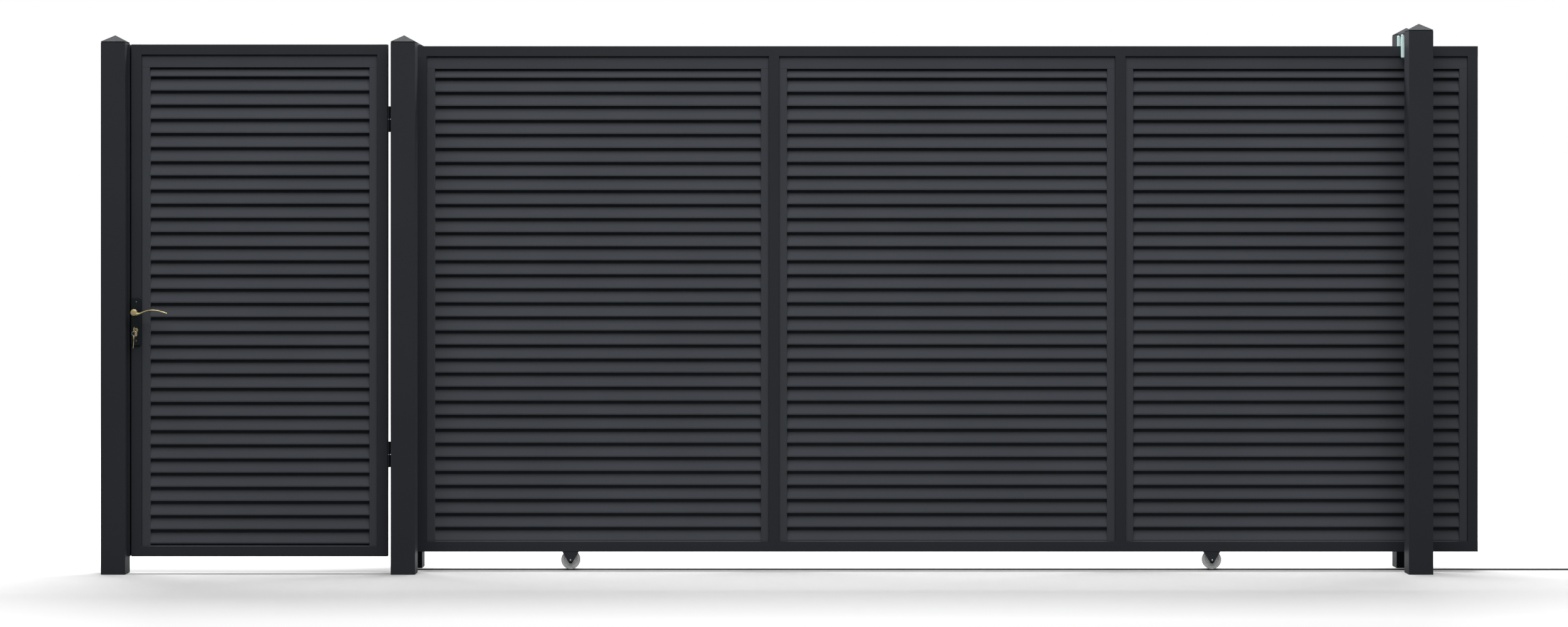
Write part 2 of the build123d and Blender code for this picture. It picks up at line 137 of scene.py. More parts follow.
class GateSizes(PropertyGroup):
    """Sizes of edges, sheet metal and small hardware"""

    post_edge: length("Post edge", "Rounding of the posts' upright edges", 0.0018)
    cap_edge: length("Cap edge", "Rounding of the edges of the post caps", 0.0004)
    cap_neck_inset: length("Cap neck inset", "How far the neck under a cap stands back", 0.0015)
    cap_neck_height: length("Cap neck height", "Height of the shadow line under a cap", 0.003)
    cap_eave_height: length("Cap eave height", "Height of a cap's upright edge", 0.001)
    cap_peak: length("Cap peak", "Width of the flat at the top of a cap", 0.002)
    tube_edge: length("Tube edge", "Rounding of the frame tubes' long edges", 0.0012)
    tube_wall: length("Tube wall", "Wall of a frame tube where its end shows", 0.0018)
    plug_recess: length("Plug recess", "How far the plug in a tube's end stands back", 0.001)
    weld_radius: length("Weld radius", "Radius of the seam where two tubes meet", 0.0021)
    weld_proud: length("Weld proud", "How far a seam stands out of the tube", 0.0002)
    louvre_edge: length("Louvre edge", "Rounding of the header and stiles of a louvre panel", 0.001)
    louvre_header: length("Louvre header", "Height of a louvre panel's header", 0.049)
    louvre_stile: length("Louvre stile", "Width of a louvre panel's stiles", 0.031)
    slat_pitch: length("Slat pitch", "Distance from one slat to the next", 0.05534)
    slat_first_drop: length("First slat", "Drop from the header to the first slat's lower edge", 0.035)
    slat_rise: length("Slat rise", "Height of one slat", 0.062)
    slat_lip: length("Slat lip", "Height of the upright lip at a slat's lower edge", 0.005)
    slat_sheet: length("Slat sheet", "Thickness of a slat's sheet", 0.002)
    slat_bend: length("Slat bend", "Rounding where a slat leans back from its lip", 0.0015)
    slat_front: length("Slat front", "Setback of a slat's lip from the panel's front", 0.003)
    slat_back: length("Slat back", "Setback of a slat's upper edge from the panel's back", 0.002)
    hinge_length: length("Hinge length", "Height of a pair of hinge barrels", 0.1)
    hinge_gap: length("Hinge gap", "Gap between the two barrels of a hinge", 0.002)
    hinge_barrel: length("Hinge barrel", "Radius of a hinge barrel", 0.0062)
    hinge_tab: length("Hinge tab", "Thickness of the strap that carries a barrel", 0.004)
    hinge_washer: length("Hinge washer", "Radius of the washer between two barrels", 0.005)
    lock_plate: length("Lock plate", "Thickness of a lock plate", 0.008)
    lock_corner: length("Lock corner", "Corner radius of a lock plate", 0.01)
    lock_rim: length("Lock rim", "Rounding of a lock plate's rim", 0.002)
    lock_collar: length("Lock collar", "Radius of the collar round the lever's neck", 0.011)
    lock_screw: length("Lock screw", "Radius of a lock plate's screw heads", 0.0038)
    lock_screw_inset: length("Lock screw inset", "Distance of a screw from the plate's end", 0.0174)
    lever_hub: length("Lever hub", "Radius of the lever's round hub", 0.0135)
    lever_neck: length("Lever neck", "Radius of the neck behind the hub", 0.008)
    lever_depth: length("Lever depth", "Depth of the hub and of the bar at the hub", 0.014)
    cylinder_radius: length("Cylinder radius", "Radius of the lock cylinder's round part", 0.0085)
    cylinder_leg: length("Cylinder leg", "Width of the lock cylinder's leg", 0.01)
    cylinder_plug: length("Cylinder plug", "Radius of the part that the key turns", 0.0065)
    keyway_width: length("Keyway width", "Width of the slot for the key", 0.0026)
    keyway_height: length("Keyway height", "Height of the slot for the key", 0.0086)
    key_bow_length: length("Key bow length", "Length of a key's bow", 0.025)
    key_bow_height: length("Key bow height", "Height of a key's bow", 0.027)
    key_hole: length("Key hole", "Radius of the hole in a key's bow", 0.004)
    key_hole_inset: length("Key hole inset", "Distance of that hole from the bow's end", 0.008)
    key_length: length("Key length", "Length of a whole key", 0.054)
    key_blade: length("Key blade", "Height of a key's blade", 0.008)
    key_thickness: length("Key thickness", "Thickness of a key", 0.002)
    ring_radius: length("Ring radius", "Radius of the key ring", 0.009)
    ring_wire: length("Ring wire", "Radius of the key ring's wire", 0.0006)
    wheel_groove_depth: length("Groove depth", "Depth of the groove that rides on the rail", 0.003)
    wheel_groove_width: length("Groove width", "Width of the groove at the wheel's rim", 0.013)
    wheel_hub: length("Wheel hub", "Radius of a wheel's hub", 0.013)
    wheel_rim: length("Wheel rim", "Width of the rim beside the dished web", 0.008)
    wheel_web: length("Wheel web", "Depth of the dish beside the hub", 0.0035)
    wheel_bore: length("Wheel bore", "Radius of a wheel's bore", 0.0063)
    wheel_edge: length("Wheel edge", "Rounding of a wheel's edges", 0.0007)
    bracket_plate: length("Bracket plate", "Thickness of a wheel bracket's cheek", 0.005)
    bracket_tip: length("Bracket tip", "Radius of a cheek's lower tip", 0.008)
    axle_radius: length("Axle radius", "Radius of a wheel's axle", 0.006)
    axle_head: length("Axle head", "Radius of the head on an axle's end", 0.009)
    axle_pin: length("Axle pin", "Radius of the bright pin in the head", 0.0032)
    rail_shoulder: length("Rail shoulder", "Height of the upright sides of the floor rail", 0.002)
    roller_bore: length("Roller bore", "Radius of a guide roller's bore", 0.0053)
    roller_edge: length("Roller edge", "Rounding of a guide roller's rims", 0.003)
    bolt_head: length("Bolt head", "Radius of the low bolt heads on the guide plate", 0.0085)
    bolt_height: length("Bolt height", "Height of the low bolt heads on the guide plate", 0.0008)
    bolt_nut: length("Bolt nut", "Radius of the nuts under the guide rollers", 0.008)
    bolt_shank: length("Bolt shank", "Radius of the bolts that carry the guide rollers", 0.005)
    fine_edge: length("Fine edge", "Rounding of small hardware", 0.0006)


class GateColours(PropertyGroup):
    """Colours of the finishes"""

    frame_paint: colour("Frame paint", "Powder coat of the posts and frame tubes", (0.0262, 0.0286, 0.0334))
    louvre_paint: colour("Louvre paint", "Powder coat of the louvre panels", (0.0465, 0.0502, 0.0578))
    black_steel: colour("Black steel", "Satin paint of the lock plates and hinges", (0.0042, 0.0064, 0.008))
    rail_steel: colour("Rail steel", "Mill steel of the floor rail", (0.021, 0.0215, 0.022))
    wheel_steel: colour("Wheel steel", "Turned steel of the wheels", (0.36, 0.363, 0.365))
    zinc_steel: colour("Zinc steel", "Plating of the axle pins", (0.52, 0.53, 0.55))
    dull_zinc: colour("Dull zinc", "Darkened plating of screws, bolts and nuts", (0.045, 0.047, 0.05))
    ring_wire: colour("Ring wire", "Plating of the key ring and the hinge washers", (0.24, 0.24, 0.255))
    # The caps' colour is the frame paint darkened by about a fifth: painted shade that offsets the extra
    # light the overhead lamp throws on the caps' tops; the real caps are the frame's colour.
    cap_paint_with_painted_shade: colour("Cap paint", "Powder coat of the post caps", (0.0205, 0.0215, 0.024))
    guide_nylon: colour("Guide nylon", "Plastic of the guide rollers", (0.53, 0.7, 0.675))
    brass: colour("Brass", "Satin brass of the lever, cylinder and keys", (0.25, 0.207, 0.108))
    floor: colour("Floor", "Plain studio floor", (0.37, 0.37, 0.37))


class GateStudio(PropertyGroup):
    """Light and camera of the stage"""

    camera_place: position("Camera place", "Where the camera stands", (1.46275, -12.81564, 1.31335))
    camera_lens: number("Lens", "Focal length in millimetres", 75.367)
    shift_right: number("Shift right", "Lens shift to the right", 0.003276)
    shift_up: number("Shift up", "Lens shift upwards", -0.04873)
    overhead_place: position("Overhead place", "Where the overhead lamp hangs", (1.5, 2.9, 7.0))
    overhead_aim: position("Overhead aim", "Point that the overhead lamp faces", (1.5, -0.5, 0.0))
    overhead_width: length("Overhead width", "Length of the overhead lamp along the gate", 11.0)
    overhead_depth: length("Overhead depth", "Width of the overhead lamp across the gate", 1.8)
    overhead_power: number("Overhead power", "Power of the overhead lamp", 1600.0, "POWER")
    front_place: position("Front place", "Where the front lamp hangs", (1.5, -5.2, 9.4))
    front_aim: position("Front aim", "Point that the front lamp faces", (1.5, 0.0, 1.0))
    front_width: length("Front width", "Length of the front lamp along the gate", 13.0)
    front_depth: length("Front depth", "Width of the front lamp across the gate", 7.5)
    front_power: number("Front power", "Power of the front lamp", 1650.0, "POWER")
    ambient: number("Ambient", "Strength of the light from all round", 0.04)
    floor_middle: length("Floor middle", "Place along the gate where the floor is centred", 1.5)
    floor_half: length("Floor half", "Half the floor's width", 60.0)
    floor_drop: length("Floor drop", "How far the floor lies under the posts' feet", 0.0005)
    floor_lift: number("Floor lift", "Light that the floor shows by itself near the gate", 0.02)
    floor_bounce: number("Floor bounce", "Share of light that the floor throws back", 0.1)
    white_behind: length("White behind", "How far behind the front posts the floor is white", 0.5)
    white_round: length("White round", "How far from the gate's middle the floor is white", 6.0)


def sizes():
    """The sizes that the user set."""
    return bpy.context.scene.gate_sizes


def colours():
    """The colours that the user set."""
    return bpy.context.scene.gate_colours


def new_material(name, roughness, metallic=0.0, specular=0.5):
    """A material with its shader, and Object coordinates to lay patterns by."""
    material = bpy.data.materials.new(name)
    material.use_nodes = True
    shader = material.node_tree.nodes["Principled BSDF"]
    shader.inputs["Roughness"].default_value = roughness
    shader.inputs["Metallic"].default_value = metallic
    shader.inputs["Specular IOR Level"].default_value = specular
    coordinates = material.node_tree.nodes.new("ShaderNodeTexCoord").outputs["Object"]
    return material, shader, coordinates


def stretched(material, vector, scale=(1, 1, 1), location=(0, 0, 0)):
    """Coordinates stretched and moved, so that a pattern follows a piece."""
    mapping = material.node_tree.nodes.new("ShaderNodeMapping")
    mapping.inputs["Location"].default_value = location
    mapping.inputs["Scale"].default_value = scale
    connect(material, vector, mapping, "Vector")
    return mapping.outputs["Vector"]


def noise(material, vector, scale, detail=2.0):
    """A cloudy pattern with so many features to the metre."""
    node = material.node_tree.nodes.new("ShaderNodeTexNoise")
    node.inputs["Scale"].default_value = scale
    node.inputs["Detail"].default_value = detail
    connect(material, vector, node, "Vector")
    return node.outputs["Fac"]


def between(material, factor, low, high, start=0.35, end=0.65):
    """A number that follows a pattern from low to high."""
    node = material.node_tree.nodes.new("ShaderNodeMapRange")
    node.inputs["From Min"].default_value = start
    node.inputs["From Max"].default_value = end
    node.inputs["To Min"].default_value = low
    node.inputs["To Max"].default_value = high
    connect(material, factor, node, "Value")
    return node.outputs["Result"]


def tint(material, factor, base, low, high, start=0.35, end=0.65):
    """A colour that follows a pattern from a darker to a lighter shade of its base."""
    node = material.node_tree.nodes.new("ShaderNodeValToRGB")
    for element, place, share in zip(node.color_ramp.elements, (start, end), (low, high)):
        element.position = place
        element.color = [min(1.0, channel * share) for channel in base] + [1.0]
    connect(material, factor, node, "Fac")
    return node.outputs["Color"]


def bump(material, shader, height, distance, strength):
    """Small relief from a pattern."""
    node = material.node_tree.nodes.new("ShaderNodeBump")
    node.inputs["Distance"].default_value = distance
    node.inputs["Strength"].default_value = strength
    connect(material, height, node, "Height")
    connect(material, node.outputs["Normal"], shader, "Normal")


def distance_along(material, vector, axis):
    """How far a point lies along an axis."""
    node = material.node_tree.nodes.new("ShaderNodeSeparateXYZ")
    connect(material, vector, node, "Vector")
    return node.outputs[axis]


def combined(tree, operation, first, second):
    """One number worked out from two."""
    node = tree.nodes.new("ShaderNodeMath")
    node.operation = operation
    tree.links.new(first, node.inputs[0])
    tree.links.new(second, node.inputs[1])
    return node.outputs["Value"]


def connect(material, source, node, socket):
    """Feed one of a node's sockets from another node."""
    material.node_tree.links.new(source, node.inputs[socket])


def powder_coat(name, base, specular=0.035):
    """Matt powder coat: a fine pebbled skin, hardly uneven in colour."""
    material, shader, place = new_material(name, 0.5, specular=specular)
    cloud = noise(material, place, 2.5, 4.0)
    pebble = noise(material, place, 1100.0, 1.0)
    connect(material, tint(material, cloud, base, 0.96, 1.04), shader, "Base Color")
    connect(material, between(material, pebble, 0.46, 0.6), shader, "Roughness")
    bump(material, shader, pebble, 0.0002, 0.15)
    return material


def satin_paint(name, base):
    """Smooth satin paint with a faint orange peel."""
    material, shader, place = new_material(name, 0.38, specular=0.1)
    peel = noise(material, place, 260.0, 2.0)
    connect(material, tint(material, peel, base, 0.92, 1.08), shader, "Base Color")
    connect(material, between(material, peel, 0.33, 0.45), shader, "Roughness")
    bump(material, shader, peel, 0.0002, 0.15)
    return material


def mill_steel(name, base):
    """Dark mill steel along the rail, rubbed brighter on its crown."""
    material, shader, place = new_material(name, 0.45, metallic=0.35)
    streak = noise(material, stretched(material, place, (6.0, 400.0, 400.0)), 1.0, 5.0)
    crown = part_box("floor_rail")[1].z
    rub_height = 0.0012
    height = distance_along(material, place, "Z")
    worn = material.node_tree.nodes.new("ShaderNodeMix")
    worn.data_type = "RGBA"
    worn.inputs["B"].default_value = (0.05, 0.05, 0.052, 1.0)
    connect(material, between(material, height, 0.0, 1.0, crown - rub_height, crown), worn, "Factor")
    connect(material, tint(material, streak, base, 0.75, 1.3), worn, "A")
    connect(material, worn.outputs["Result"], shader, "Base Color")
    connect(material, between(material, streak, 0.36, 0.55), shader, "Roughness")
    bump(material, shader, streak, 0.0002, 0.2)
    return material


def turned_steel(name, base, centre):
    """Turned steel with rings round the wheel's axle."""
    material, shader, place = new_material(name, 0.42, metallic=0.3)
    rings = material.node_tree.nodes.new("ShaderNodeTexWave")
    rings.wave_type = "RINGS"
    rings.rings_direction = "Y"
    rings.inputs["Scale"].default_value = 160.0
    rings.inputs["Distortion"].default_value = 0.6
    connect(material, stretched(material, place, location=-centre), rings, "Vector")
    cloud = noise(material, place, 90.0, 3.0)
    connect(material, tint(material, cloud, base, 0.9, 1.1), shader, "Base Color")
    connect(material, between(material, rings.outputs["Fac"], 0.36, 0.48, 0.0, 1.0), shader, "Roughness")
    bump(material, shader, rings.outputs["Fac"], 0.0001, 0.2)
    return material


def plated_steel(name, base):
    """Bright zinc plating with faint spangle."""
    material, shader, place = new_material(name, 0.32, metallic=1.0)
    spangle = noise(material, place, 320.0, 2.0)
    connect(material, tint(material, spangle, base, 0.88, 1.1), shader, "Base Color")
    connect(material, between(material, spangle, 0.26, 0.4), shader, "Roughness")
    return material


def satin_brass(name, base):
    """Brushed brass, a little darker where it is dull."""
    material, shader, place = new_material(name, 0.53, metallic=1.0)
    brushed = noise(material, stretched(material, place, (120.0, 900.0, 900.0)), 1.0, 3.0)
    dull = noise(material, place, 60.0, 3.0)
    connect(material, tint(material, dull, base, 0.82, 1.08), shader, "Base Color")
    connect(material, between(material, brushed, 0.46, 0.6), shader, "Roughness")
    bump(material, shader, brushed, 0.00005, 0.2)
    return material


def moulded_nylon(name, base):
    """Pale nylon that lets a little light in."""
    material, shader, place = new_material(name, 0.45, specular=0.15)
    shader.inputs["Subsurface Weight"].default_value = 0.2
    shader.inputs["Subsurface Radius"].default_value = (0.004, 0.004, 0.004)
    cloud = noise(material, place, 40.0, 3.0)
    grain = noise(material, place, 500.0, 2.0)
    connect(material, tint(material, cloud, base, 0.97, 1.03), shader, "Base Color")
    connect(material, between(material, grain, 0.4, 0.52), shader, "Roughness")
    bump(material, shader, grain, 0.0001, 0.12)
    return material


def finish_of(slot):
    """The material of one of the gate's finishes, made when it is first asked for."""
    makers = {
        "frame_paint": powder_coat,
        "louvre_paint": powder_coat,
        "black_steel": satin_paint,
        "rail_steel": mill_steel,
        "zinc_steel": plated_steel,
        "guide_nylon": moulded_nylon,
        "brass": satin_brass,
    }
    name = f"{slot}_finish"
    return bpy.data.materials.get(name) or makers[slot](name, getattr(colours(), slot))


def add_block(bm, low, high):
    """Add a box between two corners to a mesh, and give its vertices."""
    low, high = Vector(low), Vector(high)
    place = Matrix.LocRotScale((low + high) / 2, None, high - low)
    return bmesh.ops.create_cube(bm, size=1.0, matrix=place)["verts"]


def block(low, high):
    """A new box between two corners."""
    bm = bmesh.new()
    add_block(bm, low, high)
    return bm


def facing(axis):
    """The turn that lays an upright rod along an axis."""
    if axis == Y:
        return Matrix.Rotation(math.pi / 2, 4, "X")
    if axis == X:
        return Matrix.Rotation(math.pi / 2, 4, "Y")
    return Matrix.Identity(4)


def add_rod(bm, centre, axis, radius, height, segments=32):
    """Add a rod, or a hexagon with six segments, and give its vertices."""
    place = Matrix.Translation(centre) @ facing(axis)
    return bmesh.ops.create_cone(
        bm, cap_ends=True, segments=segments, radius1=radius, radius2=radius, depth=height, matrix=place
    )["verts"]


def verts_in(geometry):
    """The vertices among mixed geometry."""
    return [item for item in geometry if isinstance(item, bmesh.types.BMVert)]


def added_since(bm, before):
    """The vertices that a mesh has gained."""
    return [vert for vert in bm.verts if vert not in before]


def edges_of(verts):
    """Every edge between the given vertices."""
    chosen = set(verts)
    found = (edge for vert in verts for edge in vert.link_edges if chosen.issuperset(edge.verts))
    return list(dict.fromkeys(found))


def faces_of(verts):
    """Every face between the given vertices."""
    chosen = set(verts)
    found = (face for vert in verts for face in vert.link_faces if chosen.issuperset(face.verts))
    return list(dict.fromkeys(found))


def edges_along(bm, axis):
    """The edges that run along an axis."""
    found = []
    for edge in bm.edges:
        run = edge.verts[1].co - edge.verts[0].co
        if abs(run[axis]) > 0.99 * run.length:
            found.append(edge)
    return found


def sharp_edges(edges, angle=0.6):
    """The edges where two faces meet at more than an angle."""
    return [edge for edge in edges if len(edge.link_faces) == 2 and edge.calc_face_angle() > angle]


def face_towards(faces, direction):
    """The face that lies furthest along a direction, seen square on."""
    direction = Vector(direction)
    square = [face for face in faces if face.normal.dot(direction) > 0.99]
    return max(square, key=lambda face: face.calc_center_median().dot(direction))


def round_off(bm, edges, radius, segments=3):
    """Round the given edges."""
    bmesh.ops.bevel(
        bm, geom=edges, offset=radius, offset_type="OFFSET", segments=segments, profile=0.5,
        affect="EDGES", material=-1, clamp_overlap=True
    )


def round_rims(bm, verts, radius, segments):
    """Round the sharp edges between the given vertices."""
    round_off(bm, sharp_edges(edges_of(verts), 1.0), radius, segments)


def sweep(bm, section, run):
    """Draw the faces of a section out into a bar."""
    swept = bmesh.ops.extrude_face_region(bm, geom=section)["geom"]
    bmesh.ops.translate(bm, vec=run, verts=verts_in(swept))


def turn(bm, profile, centre, axis, segments=48):
    """Spin a profile of (radius, place along the axis) points round an axis, and give its vertices."""
    before = set(bm.verts)
    across = X if axis != X else Y
    chain = []
    for radius, along in profile:
        point = Vector(centre)
        point[across] += radius
        point[axis] += along
        chain.append(bm.verts.new(point))
    edges = [bm.edges.new(pair) for pair in zip(chain[:-1], chain[1:])]
    spindle = Vector((0, 0, 0))
    spindle[axis] = 1.0
    bmesh.ops.spin(
        bm, geom=chain + edges, cent=centre, axis=spindle, angle=2 * math.pi, steps=segments, use_merge=True
    )
    bmesh.ops.remove_doubles(bm, verts=added_since(bm, before), dist=1e-5)
    return added_since(bm, before)


def carve(bm, cutter):
    """Cut one closed shape out of another, and give the result."""
    objects = []
    for name, shape in (("carved", bm), ("cutter", cutter)):
        bmesh.ops.recalc_face_normals(shape, faces=shape.faces)
        mesh = bpy.data.meshes.new(name)
        shape.to_mesh(mesh)
        shape.free()
        obj = bpy.data.objects.new(name, mesh)
        bpy.context.scene.collection.objects.link(obj)
        objects.append(obj)
    carved, tool = objects
    cut = carved.modifiers.new("cut", "BOOLEAN")
    cut.operation = "DIFFERENCE"
    cut.solver = "EXACT"
    cut.object = tool
    depsgraph = bpy.context.evaluated_depsgraph_get()
    result = bmesh.new()
    result.from_mesh(carved.evaluated_get(depsgraph).to_mesh())
    for obj in objects:
        mesh = obj.data
        bpy.data.objects.remove(obj)
        bpy.data.meshes.remove(mesh)
    return result


def add_piece(bm, name, body, slot, *replaced, material=None):
    """Make a finished piece of a mesh, with its finish and the body that it rides on."""
    bmesh.ops.recalc_face_normals(bm, faces=bm.faces)
    mesh = bpy.data.meshes.new(name)
    bm.to_mesh(mesh)
    bm.free()
    mesh.shade_smooth()
    mesh.set_sharp_from_angle(angle=math.radians(38))
    mesh.materials.append(material or finish_of(slot))
    piece = bpy.data.objects.new(name, mesh)
    bpy.context.scene.collection.objects.link(piece)
    even = piece.modifiers.new("even_shading", "WEIGHTED_NORMAL")
    even.keep_sharp = True
    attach(piece, body)
    if replaced:
        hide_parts(*replaced)
    return piece


def body_of_node(node):
    """The body that carries a node."""
    return frame["nodes"][node]["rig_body"]


def make_post(node):
    """A square post with rounded upright edges."""
    low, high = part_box(node)
    bm = block(low, high)
    round_off(bm, edges_along(bm, Z), sizes().post_edge, 4)
    bm.normal_update()
    round_off(bm, list(face_towards(bm.faces, (0, 0, 1)).edges), sizes().cap_edge, 2)
    add_piece(bm, f"{node}_tube", "posts", "frame_paint", node)


def make_post_cap(node):
    """A pyramid cap with an upright eave, over a neck that leaves a shadow line."""
    low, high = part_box(f"{node}_cap")
    neck_top = low.z + sizes().cap_neck_height
    eave_top = neck_top + sizes().cap_eave_height
    inset = Vector((sizes().cap_neck_inset, sizes().cap_neck_inset, 0))
    bm = block(low + inset, Vector((high.x, high.y, neck_top)) - inset)
    eave = add_block(bm, (low.x, low.y, neck_top), (high.x, high.y, eave_top))
    bm.normal_update()
    top = face_towards(faces_of(eave), (0, 0, 1))
    roof = bmesh.ops.extrude_discrete_faces(bm, faces=[top])["faces"][0]
    middle = (low + high) / 2
    share = sizes().cap_peak / (high.x - low.x)
    bmesh.ops.translate(bm, vec=(0, 0, high.z - eave_top), verts=roof.verts)
    bmesh.ops.scale(bm, vec=(share, share, 1), space=Matrix.Translation(-middle), verts=roof.verts)
    bm.normal_update()
    round_off(bm, sharp_edges(bm.edges, 0.3), sizes().cap_edge, 2)
    # The cap finish is a darker copy of the frame paint, painted shade against the overhead lamp's light on
    # the caps' tops.
    finish = bpy.data.materials.get("cap_finish")
    if finish is None:
        finish = powder_coat("cap_finish", colours().cap_paint_with_painted_shade, specular=0.02)
    add_piece(bm, f"{node}_cap_pressing", "posts", "frame_paint", f"{node}_cap", material=finish)


def tube_mesh(node, open_ends):
    """A frame tube with rounded long edges, and a plug in each end that shows."""
    low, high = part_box(node)
    bm = block(low, high)
    spans = high - low
    axis = max((X, Y, Z), key=lambda side: spans[side])
    round_off(bm, edges_along(bm, axis), sizes().tube_edge, 3)
    bm.normal_update()
    if open_ends:
        for sign in (-1, 1):
            direction = Vector((0, 0, 0))
            direction[axis] = sign
            end = face_towards(bm.faces, direction)
            bmesh.ops.inset_region(bm, faces=[end], thickness=sizes().tube_wall, use_even_offset=True)
            plug = bmesh.ops.extrude_discrete_faces(bm, faces=[end])["faces"][0]
            bmesh.ops.translate(bm, vec=-direction * sizes().plug_recess, verts=plug.verts)
            bm.normal_update()
    return bm


def cut_wheel_pocket(bm, wheel):
    """Open the underside of the bottom rail over a wheel."""
    low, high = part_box(wheel)
    clearance = 0.005
    spare_wall = 0.001
    margin = clearance - sizes().tube_edge + spare_wall
    rail_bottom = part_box("gate_bottom_rail")[0].z
    middle = (low + high) / 2
    reach = (high.x - low.x) / 2 + clearance
    half = math.sqrt(reach ** 2 - (rail_bottom - middle.z) ** 2) + margin
    for x in (middle.x - half, middle.x + half):
        everything = bm.verts[:] + bm.edges[:] + bm.faces[:]
        bmesh.ops.bisect_plane(bm, geom=everything, plane_co=(x, 0, 0), plane_no=(1, 0, 0))
    bm.normal_update()
    under = [
        face for face in bm.faces
        if face.normal.z < -0.99 and abs(face.calc_center_median().x - middle.x) < half
    ]
    bmesh.ops.inset_region(bm, faces=under, thickness=margin, use_even_offset=True)
    roof = bmesh.ops.extrude_discrete_faces(bm, faces=under)["faces"]
    rise = middle.z + reach - rail_bottom
    bmesh.ops.translate(bm, vec=(0, 0, rise), verts=list({vert for face in roof for vert in face.verts}))


def add_weld(bm, start, end):
    """A ground seam between two tubes, flush but for a hair."""
    start, end = Vector(start), Vector(end)
    run = end - start
    axis = max((X, Y, Z), key=lambda side: abs(run[side]))
    verts = add_rod(bm, (start + end) / 2, axis, sizes().weld_radius, run.length, 12)
    round_rims(bm, verts, sizes().weld_radius * 0.6, 2)


def make_frame_welds(name, body, stiles, rails, rails_run_through):
    """Seams on both faces wherever a stile meets a rail."""
    bm = bmesh.new()
    inset = sizes().weld_radius - sizes().weld_proud
    margin = sizes().tube_edge
    for stile in stiles:
        stile_low, stile_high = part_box(stile)
        for rail in rails:
            rail_low, rail_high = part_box(rail)
            for y in (stile_low.y + inset, stile_high.y - inset):
                if rails_run_through:
                    z = rail_low.z if rail_low.z > stile_low.z else rail_high.z
                    add_weld(bm, (stile_low.x + margin, y, z), (stile_high.x - margin, y, z))
                else:
                    x = rail_low.x if rail_low.x > stile_low.x else rail_high.x
                    add_weld(bm, (x, y, rail_low.z + margin), (x, y, rail_high.z - margin))
    add_piece(bm, name, body, "frame_paint")


def add_slat(bm, left, right, front, back, lower):
    """One folded sheet: an upright lip, a rounded bend, and a leaf that leans back."""
    before = set(bm.verts)
    section = (
        (left, front, lower),
        (left, front, lower + sizes().slat_lip),
        (left, back - sizes().slat_sheet, lower + sizes().slat_rise),
    )
    chain = [bm.verts.new(point) for point in section]
    edges = [bm.edges.new(pair) for pair in zip(chain[:-1], chain[1:])]
    swept = bmesh.ops.extrude_edge_only(bm, edges=edges)["geom"]
    bmesh.ops.translate(bm, vec=(right - left, 0, 0), verts=verts_in(swept))
    made = added_since(bm, before)
    faces = faces_of(made)
    bmesh.ops.recalc_face_normals(bm, faces=faces)
    if faces[0].normal.y > 0:
        bmesh.ops.reverse_faces(bm, faces=faces)
    fold = [edge for edge in edges_of(made) if len(edge.link_faces) == 2]
    round_off(bm, fold, sizes().slat_bend, 3)
    bmesh.ops.solidify(bm, geom=faces_of(added_since(bm, before)), thickness=sizes().slat_sheet)
    return added_since(bm, before)


def make_louvre_panel(node):
    """A header, two stiles and the slats between them, the last one cut off at the panel's foot."""
    low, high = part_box(node)
    header_bottom = high.z - sizes().louvre_header
    inner_left = low.x + sizes().louvre_stile
    inner_right = high.x - sizes().louvre_stile
    bm = block((low.x, low.y, header_bottom), high)
    add_block(bm, low, (inner_left, high.y, header_bottom))
    add_block(bm, (inner_right, low.y, low.z), (high.x, high.y, header_bottom))
    round_off(bm, bm.edges[:], sizes().louvre_edge, 2)

    tuck = sizes().louvre_edge
    first_lower = header_bottom - sizes().slat_first_drop
    front = low.y + sizes().slat_front
    back = high.y - sizes().slat_back
    verts = add_slat(bm, inner_left - tuck, inner_right + tuck, front, back, first_lower)
    slat = verts + edges_of(verts) + faces_of(verts)
    count = int((first_lower - low.z) / sizes().slat_pitch + 1e-6) + 1
    for index in range(1, count + 1):
        copied = bmesh.ops.duplicate(bm, geom=slat)["geom"]
        bmesh.ops.translate(bm, vec=(0, 0, -index * sizes().slat_pitch), verts=verts_in(copied))
    cut = bmesh.ops.bisect_plane(
        bm, geom=copied, dist=1e-6, plane_co=(0, 0, low.z), plane_no=(0, 0, -1), clear_outer=True
    )["geom_cut"]
    bmesh.ops.holes_fill(bm, edges=[item for item in cut if isinstance(item, bmesh.types.BMEdge)])
    add_piece(bm, f"{node}_slats", body_of_node(node), "louvre_paint", node)


def make_strike_bar():
    """The flat bar on the latch post that the wicket closes against."""
    low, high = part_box("strike_bar")
    bm = block(low, high)
    round_off(bm, bm.edges[:], sizes().louvre_edge, 2)
    dull = powder_coat("strike_bar_finish", colours().frame_paint, specular=0.0)
    add_piece(bm, "strike_bar_flat", "posts", "frame_paint", "strike_bar", material=dull)


def add_barrel(bm, z_span, tab_x):
    """One hinge barrel with rounded rims and the strap that carries it."""
    axis = joint_places["wicket_swing"]
    low, high = z_span
    verts = add_rod(bm, (axis.x, axis.y, (low + high) / 2), Z, sizes().hinge_barrel, high - low)
    round_rims(bm, verts, sizes().fine_edge * 2, 3)
    tab_step = 0.001
    tab_back = axis.y + sizes().hinge_barrel
    tab_front = tab_back - sizes().hinge_tab
    left, right = sorted((axis.x, tab_x))
    tab = add_block(bm, (left, tab_front, low + tab_step), (right, tab_back, high - tab_step))
    round_off(bm, edges_of(tab), sizes().fine_edge, 2)


